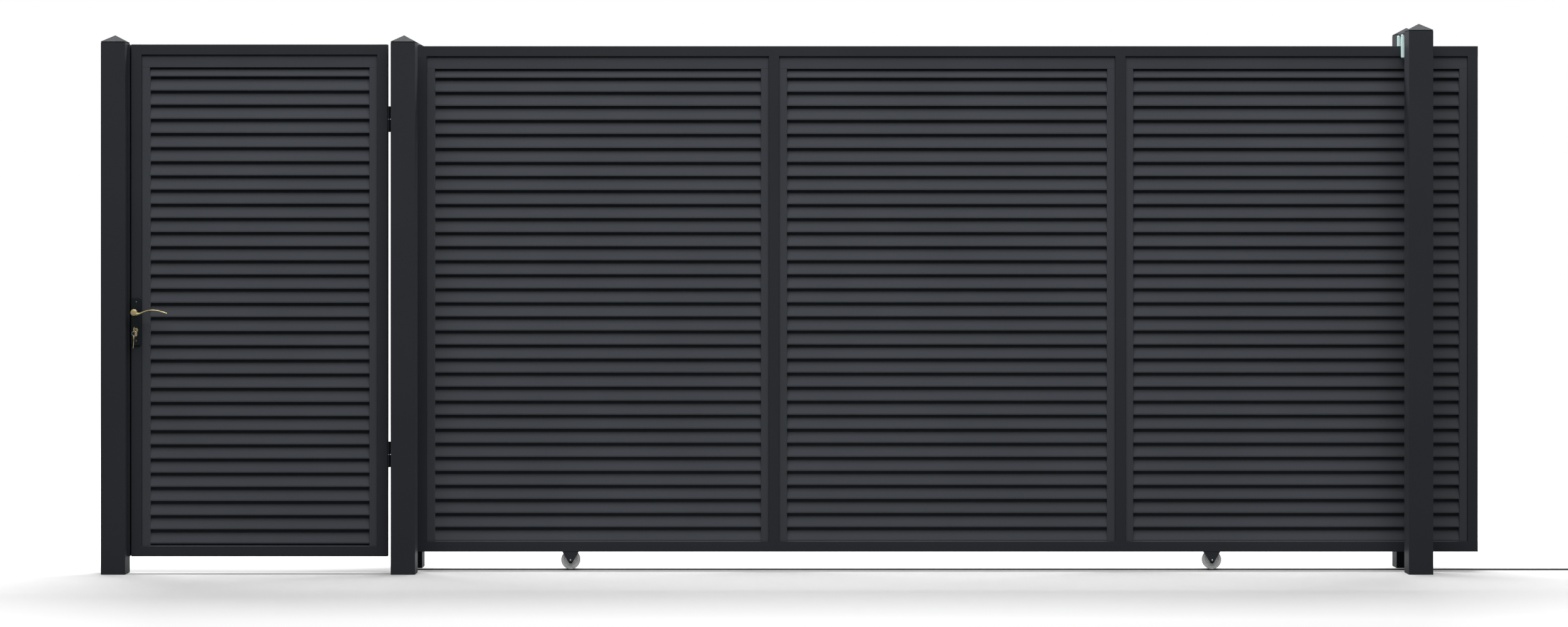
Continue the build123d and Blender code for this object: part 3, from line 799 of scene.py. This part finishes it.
def make_hinges():
    """Two barrel hinges: the post's barrels, the leaf's barrels, and a bright washer in each joint."""
    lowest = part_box("hinge_post_barrels")[0].z
    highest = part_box("hinge_leaf_barrels")[1].z
    post_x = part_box("middle_post_front")[0].x
    leaf_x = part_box("wicket_hinge_stile")[1].x
    axis = joint_places["wicket_swing"]
    on_post = bmesh.new()
    on_leaf = bmesh.new()
    washers = bmesh.new()
    for low in (lowest, highest - sizes().hinge_length):
        high = low + sizes().hinge_length
        middle = (low + high) / 2
        gap = sizes().hinge_gap / 2
        add_barrel(on_post, (low, middle - gap), post_x)
        add_barrel(on_leaf, (middle + gap, high), leaf_x)
        verts = add_rod(washers, (axis.x, axis.y, middle), Z, sizes().hinge_washer, sizes().hinge_gap * 0.9)
        round_rims(washers, verts, sizes().hinge_gap * 0.2, 2)
    add_piece(on_post, "hinge_barrels_on_post", "posts", "black_steel", "hinge_post_barrels")
    add_piece(on_leaf, "hinge_barrels_on_leaf", "wicket_leaf", "black_steel", "hinge_leaf_barrels")
    dull = plated_steel("hinge_washers_finish", colours().ring_wire)
    add_piece(washers, "hinge_washers", "posts", "zinc_steel", material=dull)


def make_lock_plate(side):
    """A lock plate with rounded corners and rim, and the collar round the lever's neck."""
    node = f"lock_plate_{side}"
    out = OUTWARDS[side]
    low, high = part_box(node)
    seat = high.y if out < 0 else low.y
    face = seat + out * sizes().lock_plate
    bm = block((low.x, min(seat, face), low.z), (high.x, max(seat, face), high.z))
    round_off(bm, edges_along(bm, Y), sizes().lock_corner, 8)
    bm.normal_update()
    round_off(bm, list(face_towards(bm.faces, (0, out, 0)).edges), sizes().lock_rim, 3)
    end = low.y if out < 0 else high.y
    lever = joint_places["lever_turn"]
    collar = add_rod(bm, (lever.x, (face + end) / 2, lever.z), Y, sizes().lock_collar, abs(end - face), 48)
    round_rims(bm, collar, sizes().fine_edge * 1.5, 3)
    add_piece(bm, f"{node}_face", "wicket_leaf", "black_steel", node)

    screws = bmesh.new()
    for z in (low.z + sizes().lock_screw_inset, high.z - sizes().lock_screw_inset):
        add_screw(screws, Vector((lever.x, face, z)), out)
    dull = plated_steel(f"{node}_screw_finish", colours().dull_zinc)
    add_piece(screws, f"{node}_screws", "wicket_leaf", "zinc_steel", material=dull)


def add_screw(bm, seat, out):
    """A raised screw head with a round socket."""
    radius = sizes().lock_screw
    socket_floor = 0.0004
    crown = 0.0013
    shoulder = 0.0012
    rim = 0.0003
    root = -0.001
    profile = (
        (0.0, socket_floor),
        (radius * 0.42, socket_floor),
        (radius * 0.5, crown),
        (radius * 0.75, shoulder),
        (radius, rim),
        (radius, root),
        (0.0, root),
    )
    turn(bm, [(reach, out * height) for reach, height in profile], seat, Y, 24)


def make_lever(side):
    """A lever: a crowned hub on its neck, and an oval bar that rises from the hub's foot and droops."""
    node = f"lever_{side}"
    out = OUTWARDS[side]
    low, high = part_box(node)
    pivot = joint_places["lever_turn"]
    front = low.y if out < 0 else high.y
    back = front - out * sizes().lever_depth
    plate_low, plate_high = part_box(f"lock_plate_{side}")
    neck_end = plate_low.y if out < 0 else plate_high.y
    hub = sizes().lever_hub
    neck = sizes().lever_neck
    crown = out * 0.0015
    profile = (
        (0.0, front),
        (hub * 0.5, front - crown * 0.2),
        (hub * 0.85, front - crown),
        (hub, front - 2.5 * crown),
        (hub, back + 1.5 * crown),
        (hub * 0.9, back + 0.3 * crown),
        (neck * 1.05, back),
        (neck, back - crown),
        (neck, neck_end),
        (0.0, neck_end),
    )
    bm = bmesh.new()
    turn(bm, [(radius, y - pivot.y) for radius, y in profile], pivot, Y, 32)

    middle_y = (front + back) / 2
    points = [Vector((pivot.x + x, middle_y, pivot.z + z)) for x, z, thick, deep in LEVER_STATIONS]
    places = []
    for index, (x, z, thick, deep) in enumerate(LEVER_STATIONS):
        ahead = points[min(index + 1, len(points) - 1)]
        behind = points[max(index - 1, 0)]
        run = (ahead - behind).normalized()
        slope = Matrix.Rotation(-math.atan2(run.z, run.x), 4, "Y")
        oval = facing(X) @ Matrix.Diagonal((thick, deep, 1, 1))
        places.append(Matrix.Translation(points[index]) @ slope @ oval)
    made = bmesh.ops.create_circle(bm, cap_ends=True, segments=16, radius=1.0, matrix=places[0])["verts"]
    loop = edges_of(made)
    for before, after in zip(places[:-1], places[1:]):
        verts = verts_in(bmesh.ops.extrude_edge_only(bm, edges=loop)["geom"])
        bmesh.ops.transform(bm, matrix=after @ before.inverted(), verts=verts)
        loop = edges_of(verts)
    tip = bmesh.ops.edgeloop_fill(bm, edges=loop)["faces"]
    bmesh.ops.inset_region(bm, faces=tip, thickness=sizes().fine_edge, use_even_offset=True)
    piece = add_piece(bm, f"{node}_handle", "lock_lever", "brass", node)
    smooth = piece.modifiers.new("smooth", "SUBSURF")
    smooth.levels = 2
    smooth.render_levels = 2


def cylinder_section(bm, centre, y):
    """The pear-shaped outline of the lock cylinder as one face."""
    radius = sizes().cylinder_radius
    half = sizes().cylinder_leg / 2
    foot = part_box("lock_cylinder")[0].z
    leg_centre = Vector((centre.x, y, foot + half))
    meet = math.asin(half / radius)
    start = bm.verts.new((centre.x + half, y, centre.z - radius * math.cos(meet)))
    arc = bmesh.ops.spin(
        bm, geom=[start], cent=(centre.x, y, centre.z), axis=(0, -1, 0), angle=2 * (math.pi - meet), steps=30
    )["geom_last"]
    left = bmesh.ops.extrude_vert_indiv(bm, verts=arc)["verts"][0]
    left.co = (centre.x - half, y, leg_centre.z)
    tail = bmesh.ops.spin(
        bm, geom=[left], cent=leg_centre, axis=(0, -1, 0), angle=math.pi, steps=10
    )["geom_last"][0]
    bm.edges.new((tail, start))
    return bmesh.ops.edgeloop_fill(bm, edges=bm.edges[:])["faces"]


def make_lock_cylinder():
    """The lock cylinder through both plates, with a proud plug and a keyway at each end."""
    low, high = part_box("lock_cylinder")
    centre = Vector(((low.x + high.x) / 2, 0, high.z - sizes().cylinder_radius))
    proud = sizes().fine_edge
    bm = bmesh.new()
    section = cylinder_section(bm, centre, low.y + proud)
    sweep(bm, section, (0, high.y - low.y - 2 * proud, 0))
    bmesh.ops.recalc_face_normals(bm, faces=bm.faces)
    round_off(bm, sharp_edges(bm.edges, 1.0), sizes().fine_edge, 2)
    middle = Vector((centre.x, (low.y + high.y) / 2, centre.z))
    plug = add_rod(bm, middle, Y, sizes().cylinder_plug, high.y - low.y, 32)
    round_rims(bm, plug, proud * 0.4, 1)
    half_width = sizes().keyway_width / 2
    half_height = sizes().keyway_height / 2
    keyway_depth = 0.024
    overshoot = 0.001
    keyways = bmesh.new()
    front = (low.y - overshoot, low.y + keyway_depth)
    back = (high.y - keyway_depth, high.y + overshoot)
    for start, end in (front, back):
        add_block(
            keyways,
            (centre.x - half_width, start, centre.z - half_height),
            (centre.x + half_width, end, centre.z + half_height),
        )
    add_piece(carve(bm, keyways), "lock_cylinder_body", "wicket_leaf", "brass", "lock_cylinder")


def key_mesh():
    """A key in its own plane: bow end at the origin, blade along X, teeth upwards."""
    bm = bmesh.new()
    half_bow = sizes().key_bow_length / 2
    oval = Matrix.Diagonal((half_bow, sizes().key_bow_height / 2, 1, 1))
    rim_place = Matrix.Translation((half_bow, 0, 0)) @ oval
    rim = bmesh.ops.create_circle(bm, cap_ends=False, segments=32, radius=1.0, matrix=rim_place)["verts"]
    hole_place = Matrix.Translation((sizes().key_hole_inset, 0, 0))
    hole = bmesh.ops.create_circle(
        bm, cap_ends=False, segments=32, radius=sizes().key_hole, matrix=hole_place
    )["verts"]
    bmesh.ops.bridge_loops(bm, edges=edges_of(rim) + edges_of(hole))

    overlap = 0.004
    blade_start = sizes().key_bow_length - overlap
    blade_end = sizes().key_length
    half_blade = sizes().key_blade / 2
    blade_half_length = (blade_end - blade_start) / 2
    blade_place = Matrix.Translation((blade_start + blade_half_length, 0, 0))
    blade_place @= Matrix.Diagonal((blade_half_length, half_blade, 1, 1))
    cuts = KEY_SHOULDER + KEY_CUTS
    blade = bmesh.ops.create_grid(
        bm, x_segments=len(cuts) - 1, y_segments=2, size=1.0, matrix=blade_place
    )["verts"]
    top = sorted((vert for vert in blade if vert.co.y > half_blade * 0.9), key=lambda vert: vert.co.x)
    for vert, cut in zip(top, cuts):
        vert.co.y -= cut

    bmesh.ops.recalc_face_normals(bm, faces=bm.faces)
    sweep(bm, bm.faces[:], (0, 0, sizes().key_thickness))
    bmesh.ops.translate(bm, vec=(0, 0, -sizes().key_thickness / 2), verts=bm.verts)
    bmesh.ops.recalc_face_normals(bm, faces=bm.faces)
    round_off(bm, sharp_edges(bm.edges, 1.2), sizes().key_thickness * 0.12, 1)
    bmesh.ops.dissolve_degenerate(bm, dist=1e-5, edges=bm.edges)
    return bm


def make_keys():
    """The key in the lock on edge, the ring through its bow, and the spare key on the ring."""
    lock_low, lock_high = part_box("key_in_lock")
    ring_low, ring_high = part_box("key_ring")
    x = (lock_low.x + lock_high.x) / 2
    across = Matrix(((0, 0, 1), (1, 0, 0), (0, 1, 0))).to_4x4()
    in_lock = key_mesh()
    place = Matrix.Translation((x, lock_low.y, (lock_low.z + lock_high.z) / 2)) @ across
    bmesh.ops.transform(in_lock, matrix=place, verts=in_lock.verts)
    add_piece(in_lock, "key_in_lock_blade", "wicket_leaf", "brass", "key_in_lock")

    spare = key_mesh()
    lean = math.radians(4.5)
    hanging = Matrix.Rotation(lean, 4, "Y") @ Matrix.Rotation(math.pi / 2, 4, "Y")
    ring_y = (ring_low.y + ring_high.y) / 2
    half_depth = (ring_high.y - ring_low.y) / 2
    hole_z = ring_low.z - sizes().key_hole + 2.3 * half_depth
    place = Matrix.Translation((x, ring_y, hole_z)) @ hanging
    place @= Matrix.Translation((-sizes().key_hole_inset, 0, 0))
    bmesh.ops.transform(spare, matrix=place, verts=spare.verts)
    add_piece(spare, "spare_key_blade", "wicket_leaf", "brass", "spare_key")

    ring = bmesh.new()
    centre = (ring_low + ring_high) / 2
    turns = 2
    steps = 96
    wire = sizes().ring_wire
    pitch = 1.7 * wire
    start = Matrix.Translation((centre.x + sizes().ring_radius, centre.y - pitch, centre.z))
    made = bmesh.ops.create_circle(ring, cap_ends=True, segments=8, radius=wire, matrix=start)["verts"]
    section = made + edges_of(made) + faces_of(made)
    bmesh.ops.spin(
        ring, geom=section, cent=centre, axis=(0, 1, 0), dvec=(0, turns * pitch / steps, 0),
        angle=turns * 2 * math.pi, steps=steps
    )
    finish = plated_steel("key_ring_finish", colours().ring_wire)
    add_piece(ring, "key_ring_wire", "wicket_leaf", "zinc_steel", "key_ring", material=finish)


def make_floor_wheel(side):
    """A grooved wheel with a dished web, turned from one blank."""
    node = f"floor_wheel_{side}"
    low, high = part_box(node)
    centre = (low + high) / 2
    radius = (high.z - low.z) / 2
    half = (high.y - low.y) / 2
    root = radius - sizes().wheel_groove_depth
    inside = root - sizes().wheel_rim
    groove = sizes().wheel_groove_width / 2
    root_half = groove - sizes().wheel_groove_depth / 2
    web = half - sizes().wheel_web
    hub = sizes().wheel_hub
    profile = [
        (sizes().wheel_bore, half),
        (hub, half),
        (hub, web),
        (inside, web),
        (inside, half),
        (radius, half),
        (radius, groove),
        (root, root_half),
    ]
    profile += [(reach, -along) for reach, along in reversed(profile)]
    bm = bmesh.new()
    verts = turn(bm, profile + profile[:1], centre, Y, 72)
    bmesh.ops.recalc_face_normals(bm, faces=bm.faces)
    round_off(bm, sharp_edges(edges_of(verts), 0.5), sizes().wheel_edge, 2)
    material = turned_steel(f"wheel_steel_{side}_finish", colours().wheel_steel, centre)
    add_piece(bm, f"{node}_disc", node, "wheel_steel", node, material=material)


def make_wheel_bracket(side):
    """Two tapered cheeks under the bottom rail, with the wheel's axle and a hexagon head at each end."""
    node = f"wheel_bracket_{side}"
    low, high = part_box(node)
    wheel_low, wheel_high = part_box(f"floor_wheel_{side}")
    axle = (wheel_low + wheel_high) / 2
    tip_z = low.z + sizes().bracket_tip
    head_end = (high.y - low.y) / 2
    head_height = 0.004
    outside = head_end - head_height
    inside = outside - sizes().bracket_plate
    seat = 0.0005
    bm = bmesh.new()
    for sign in (-1, 1):
        y = axle.y + sign * (inside + outside) / 2
        before = set(bm.verts)
        add_rod(bm, (axle.x, y, tip_z), Y, sizes().bracket_tip, sizes().bracket_plate, 32)
        near, far = sorted((axle.y + sign * inside, axle.y + sign * outside))
        add_block(bm, (low.x, near, high.z - seat), (high.x, far, high.z))
        made = added_since(bm, before)
        bmesh.ops.delete(bm, geom=edges_of(made), context="EDGES_FACES")
        hull = bmesh.ops.convex_hull(bm, input=made)
        bmesh.ops.delete(bm, geom=verts_in(hull["geom_interior"]), context="VERTS")
        made = added_since(bm, before)
        bmesh.ops.dissolve_limit(bm, angle_limit=0.02, verts=made, edges=edges_of(made))
        round_rims(bm, added_since(bm, before), sizes().fine_edge, 2)
        head_y = axle.y + sign * (outside + head_end) / 2
        head = add_rod(bm, (axle.x, head_y, axle.z), Y, sizes().axle_head, head_end - outside, 6)
        round_off(bm, edges_of(head), sizes().fine_edge, 2)
    add_rod(bm, axle, Y, sizes().axle_radius, 2 * outside, 32)
    add_piece(bm, f"{node}_cheeks", "sliding_leaf", "frame_paint", node)

    pins = bmesh.new()
    pin = sizes().axle_pin
    pin_proud = 0.0002
    pin_end = head_end + pin_proud
    profile = [(0, pin_end), (pin * 0.7, pin_end), (pin, pin_end - sizes().fine_edge)]
    profile += [(reach, -along) for reach, along in reversed(profile)]
    turn(pins, profile, axle, Y, 24)
    add_piece(pins, f"{node}_pins", "sliding_leaf", "zinc_steel")


def make_floor_rail():
    """The low rail with its rounded crown."""
    low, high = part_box("floor_rail")
    middle = (low.y + high.y) / 2
    shoulder = sizes().rail_shoulder
    bm = bmesh.new()
    first = bm.verts.new((low.x, low.y, low.z))
    spring = bm.verts.new((low.x, low.y, low.z + shoulder))
    bm.edges.new((first, spring))
    crown = bmesh.ops.spin(
        bm, geom=[spring], cent=(low.x, middle, low.z + shoulder), axis=(-1, 0, 0), angle=math.pi, steps=14
    )["geom_last"][0]
    last = bmesh.ops.extrude_vert_indiv(bm, verts=[crown])["verts"][0]
    last.co = (low.x, high.y, low.z)
    bm.edges.new((last, first))
    section = bmesh.ops.edgeloop_fill(bm, edges=bm.edges[:])["faces"]
    sweep(bm, section, (high.x - low.x, 0, 0))
    add_piece(bm, "floor_rail_bar", "posts", "rail_steel", "floor_rail")


def make_guide():
    """The plate between the guide posts, with the bolts that carry the rollers."""
    low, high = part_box("guide_plate")
    bm = block(low, high)
    round_off(bm, bm.edges[:], sizes().louvre_edge, 2)
    add_piece(bm, "guide_plate_bridge", "posts", "frame_paint", "guide_plate")

    axle_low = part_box("guide_axles")[0]
    bolts = bmesh.new()
    shank_end = 0.0012
    nut_gap = 0.0005
    root = -0.002
    flat = sizes().bolt_head * 0.7
    head = (
        (0.0, sizes().bolt_height),
        (flat, sizes().bolt_height),
        (sizes().bolt_head, 0.0),
        (flat, root),
        (0.0, root),
    )
    for row in ROWS:
        for side in SIDES:
            roller_low, roller_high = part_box(f"guide_roller_{row}_{side}")
            x, y = ((roller_low + roller_high) / 2).xy
            shank_middle = (x, y, (axle_low.z + high.z) / 2)
            shank = add_rod(bolts, shank_middle, Z, sizes().bolt_shank, high.z - axle_low.z, 24)
            round_rims(bolts, shank, sizes().fine_edge, 2)
            nut_low = axle_low.z + shank_end
            nut_top = roller_low.z - nut_gap
            nut = add_rod(bolts, (x, y, (nut_low + nut_top) / 2), Z, sizes().bolt_nut, nut_top - nut_low, 6)
            round_off(bolts, edges_of(nut), sizes().fine_edge, 2)
            turn(bolts, head, Vector((x, y, high.z)), Z, 32)
    finish = plated_steel("guide_bolts_finish", colours().dull_zinc)
    add_piece(bolts, "guide_bolts", "posts", "zinc_steel", "guide_axles", material=finish)


def make_guide_roller(row, side):
    """A nylon roller with rounded rims, a bore and a shallow dish round it."""
    node = f"guide_roller_{row}_{side}"
    low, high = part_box(node)
    centre = (low + high) / 2
    radius = (high.x - low.x) / 2
    half = (high.z - low.z) / 2
    bore = sizes().roller_bore
    hub = bore + 0.0015
    rim = radius - 0.0055
    slope = 0.0005
    dish_floor = half - 0.0008
    profile = [
        (bore, half),
        (hub, half),
        (hub + slope, dish_floor),
        (rim - slope, dish_floor),
        (rim, half),
        (radius, half),
    ]
    profile += [(reach, -along) for reach, along in reversed(profile)]
    bm = bmesh.new()
    verts = turn(bm, profile + profile[:1], centre, Z, 56)
    bmesh.ops.recalc_face_normals(bm, faces=bm.faces)
    outer = [
        edge for edge in sharp_edges(edges_of(verts), 1.0)
        if (edge.verts[0].co.xy - centre.xy).length > radius * 0.99
    ]
    round_off(bm, outer, sizes().roller_edge, 3)
    add_piece(bm, f"{node}_barrel", node, "guide_nylon", node)


def emission_share(tree):
    """One where the camera, a reflection or clear glass looks, and nothing elsewhere."""
    path = tree.nodes.new("ShaderNodeLightPath")
    total = path.outputs["Is Camera Ray"]
    for name in ("Is Glossy Ray", "Is Transmission Ray"):
        total = combined(tree, "MAXIMUM", total, path.outputs[name])
    return total


def make_floor(studio):
    """A plain pale floor that keeps the gate's shadow."""
    bm = bmesh.new()
    bmesh.ops.create_grid(bm, x_segments=1, y_segments=1, size=studio.floor_half)
    bmesh.ops.translate(bm, vec=(studio.floor_middle, 0, -studio.floor_drop), verts=bm.verts)
    mesh = bpy.data.meshes.new("studio_floor")
    bm.to_mesh(mesh)
    bm.free()
    floor = bpy.data.objects.new("studio_floor", mesh)
    bpy.context.scene.collection.objects.link(floor)
    material, shader, place = new_material("studio_floor_finish", 0.9, specular=0.0)
    tree = material.node_tree
    seen = emission_share(tree)
    pale = colours().floor
    shade = tint(material, seen, pale, studio.floor_bounce / pale[0], 1.0, 0.0, 1.0)
    connect(material, shade, shader, "Base Color")
    shader.inputs["Emission Color"].default_value = (1.0, 1.0, 1.0, 1.0)
    lift = studio.floor_lift
    shade_back = 0.05
    shade_reach = 2.3
    shade_forward = 0.8
    back = distance_along(material, place, "Y")
    behind = between(material, back, lift, 1.0, shade_back, studio.white_behind)
    reach = tree.nodes.new("ShaderNodeVectorMath")
    reach.operation = "LENGTH"
    centred = stretched(material, place, location=(-studio.floor_middle, shade_forward, 0.0))
    tree.links.new(centred, reach.inputs[0])
    far = between(material, reach.outputs["Value"], lift, 1.0, shade_reach, studio.white_round)
    strength = combined(tree, "MULTIPLY", seen, combined(tree, "MAXIMUM", behind, far))
    connect(material, strength, shader, "Emission Strength")
    mesh.materials.append(material)


def make_lamp(studio, name):
    """A soft rectangular lamp aimed at a point."""
    data = bpy.data.lights.new(f"{name}_lamp", "AREA")
    data.shape = "RECTANGLE"
    data.size = getattr(studio, f"{name}_width")
    data.size_y = getattr(studio, f"{name}_depth")
    data.energy = getattr(studio, f"{name}_power")
    place = Vector(getattr(studio, f"{name}_place"))
    aim = Vector(getattr(studio, f"{name}_aim"))
    lamp = bpy.data.objects.new(f"{name}_lamp", data)
    lamp.location = place
    lamp.rotation_euler = (aim - place).to_track_quat("-Z", "Y").to_euler()
    bpy.context.scene.collection.objects.link(lamp)


def make_world(studio):
    """White behind the gate, and a weak even light from all round."""
    world = bpy.data.worlds.new("studio_world")
    world.use_nodes = True
    bpy.context.scene.world = world
    tree = world.node_tree
    weak = tree.nodes["Background"]
    weak.inputs["Color"].default_value = (1.0, 1.0, 1.0, 1.0)
    weak.inputs["Strength"].default_value = studio.ambient
    white = tree.nodes.new("ShaderNodeBackground")
    white.inputs["Color"].default_value = (1.0, 1.0, 1.0, 1.0)
    white.inputs["Strength"].default_value = 1.0
    mix = tree.nodes.new("ShaderNodeMixShader")
    tree.links.new(emission_share(tree), mix.inputs["Fac"])
    tree.links.new(weak.outputs["Background"], mix.inputs[1])
    tree.links.new(white.outputs["Background"], mix.inputs[2])
    tree.links.new(mix.outputs["Shader"], tree.nodes["World Output"].inputs["Surface"])


def make_camera(studio):
    """A level camera square to the gate, with the lens shifted to frame it."""
    data = bpy.data.cameras.new("studio_camera")
    data.sensor_width = 36.0
    data.lens = studio.camera_lens
    data.shift_x = studio.shift_right
    data.shift_y = studio.shift_up
    data.clip_end = 300.0
    camera = bpy.data.objects.new("studio_camera", data)
    camera.location = studio.camera_place
    camera.rotation_euler = (math.pi / 2, 0, 0)
    bpy.context.scene.collection.objects.link(camera)
    bpy.context.scene.camera = camera


class GATE_OT_posts(Operator):
    """Build the five square posts and their pyramid caps"""

    bl_idname = "gate.posts"
    bl_label = "Posts and caps"

    def execute(self, context):
        for node in POSTS:
            make_post(node)
            make_post_cap(node)
        return {"FINISHED"}


class GATE_OT_wicket_frame(Operator):
    """Build the wicket's frame tubes, their seams and the strike bar"""

    bl_idname = "gate.wicket_frame"
    bl_label = "Wicket frame"

    def execute(self, context):
        for node in WICKET_STILES + WICKET_RAILS:
            bm = tube_mesh(node, node in WICKET_STILES)
            add_piece(bm, f"{node}_tube", "wicket_leaf", "frame_paint", node)
        make_frame_welds("wicket_weld_seams", "wicket_leaf", WICKET_STILES, WICKET_RAILS, False)
        make_strike_bar()
        return {"FINISHED"}


class GATE_OT_sliding_frame(Operator):
    """Build the sliding leaf's frame tubes and their seams"""

    bl_idname = "gate.sliding_frame"
    bl_label = "Sliding leaf frame"

    def execute(self, context):
        for node in GATE_RAILS + GATE_STILES:
            bm = tube_mesh(node, node in GATE_RAILS)
            if node == "gate_bottom_rail":
                for side in SIDES:
                    cut_wheel_pocket(bm, f"floor_wheel_{side}")
            add_piece(bm, f"{node}_tube", "sliding_leaf", "frame_paint", node)
        make_frame_welds("gate_weld_seams", "sliding_leaf", GATE_STILES, GATE_RAILS, True)
        return {"FINISHED"}


class GATE_OT_louvre_panels(Operator):
    """Build the louvre panels of both leaves"""

    bl_idname = "gate.louvre_panels"
    bl_label = "Louvre panels"

    def execute(self, context):
        for node in ("wicket_louvre_panel",) + GATE_PANELS:
            make_louvre_panel(node)
        return {"FINISHED"}


class GATE_OT_hinges(Operator):
    """Build the wicket's two barrel hinges"""

    bl_idname = "gate.hinges"
    bl_label = "Hinges"

    def execute(self, context):
        make_hinges()
        return {"FINISHED"}


class GATE_OT_lock(Operator):
    """Build the lock plates, their screws, the levers and the lock cylinder"""

    bl_idname = "gate.lock"
    bl_label = "Lock and levers"

    def execute(self, context):
        for side in OUTWARDS:
            make_lock_plate(side)
            make_lever(side)
        make_lock_cylinder()
        return {"FINISHED"}


class GATE_OT_keys(Operator):
    """Build the key in the lock, the ring and the spare key"""

    bl_idname = "gate.keys"
    bl_label = "Keys"

    def execute(self, context):
        make_keys()
        return {"FINISHED"}


class GATE_OT_running_gear(Operator):
    """Build the floor rail, the grooved wheels and their brackets"""

    bl_idname = "gate.running_gear"
    bl_label = "Rail and wheels"

    def execute(self, context):
        make_floor_rail()
        for side in SIDES:
            make_floor_wheel(side)
            make_wheel_bracket(side)
        return {"FINISHED"}


class GATE_OT_guide(Operator):
    """Build the guide plate, its bolts and the four guide rollers"""

    bl_idname = "gate.guide"
    bl_label = "Top guide"

    def execute(self, context):
        make_guide()
        for row in ROWS:
            for side in SIDES:
                make_guide_roller(row, side)
        return {"FINISHED"}


class GATE_OT_stage(Operator):
    """Lay the floor, hang the soft lamps and set up the camera"""

    bl_idname = "gate.stage"
    bl_label = "Stage"

    def execute(self, context):
        studio = context.scene.gate_studio
        make_floor(studio)
        make_world(studio)
        for name in ("overhead", "front"):
            make_lamp(studio, name)
        make_camera(studio)
        context.scene.view_settings.view_transform = "Standard"
        return {"FINISHED"}


OPERATORS = (
    GATE_OT_posts,
    GATE_OT_wicket_frame,
    GATE_OT_sliding_frame,
    GATE_OT_louvre_panels,
    GATE_OT_hinges,
    GATE_OT_lock,
    GATE_OT_keys,
    GATE_OT_running_gear,
    GATE_OT_guide,
    GATE_OT_stage,
)


class GATE_PT_sidebar(Panel):
    """Lists what builds the gate, and the sizes and colours that it follows"""

    bl_idname = "GATE_PT_sidebar"
    bl_label = "Louvred gate"
    bl_space_type = "VIEW_3D"
    bl_region_type = "UI"
    bl_category = "Gate"

    def draw(self, context):
        for operator in OPERATORS:
            self.layout.operator(operator.bl_idname)
        for group in (context.scene.gate_sizes, context.scene.gate_colours, context.scene.gate_studio):
            box = self.layout.box()
            for name in group.__annotations__:
                box.prop(group, name)


CLASSES = (GateSizes, GateColours, GateStudio) + OPERATORS + (GATE_PT_sidebar,)


def register():
    """Make the gate's settings, operators and panel known."""
    for item in CLASSES:
        bpy.utils.register_class(item)
    bpy.types.Scene.gate_sizes = PointerProperty(type=GateSizes)
    bpy.types.Scene.gate_colours = PointerProperty(type=GateColours)
    bpy.types.Scene.gate_studio = PointerProperty(type=GateStudio)


def unregister():
    """Take the gate's settings, operators and panel away again."""
    del bpy.types.Scene.gate_studio
    del bpy.types.Scene.gate_colours
    del bpy.types.Scene.gate_sizes
    for item in reversed(CLASSES):
        bpy.utils.unregister_class(item)


def main():
    """Build the whole gate and its stage."""
    register()
    bpy.ops.gate.posts()
    bpy.ops.gate.wicket_frame()
    bpy.ops.gate.sliding_frame()
    bpy.ops.gate.louvre_panels()
    bpy.ops.gate.hinges()
    bpy.ops.gate.lock()
    bpy.ops.gate.keys()
    bpy.ops.gate.running_gear()
    bpy.ops.gate.guide()
    bpy.ops.gate.stage()


if __name__ == "__main__":
    main()
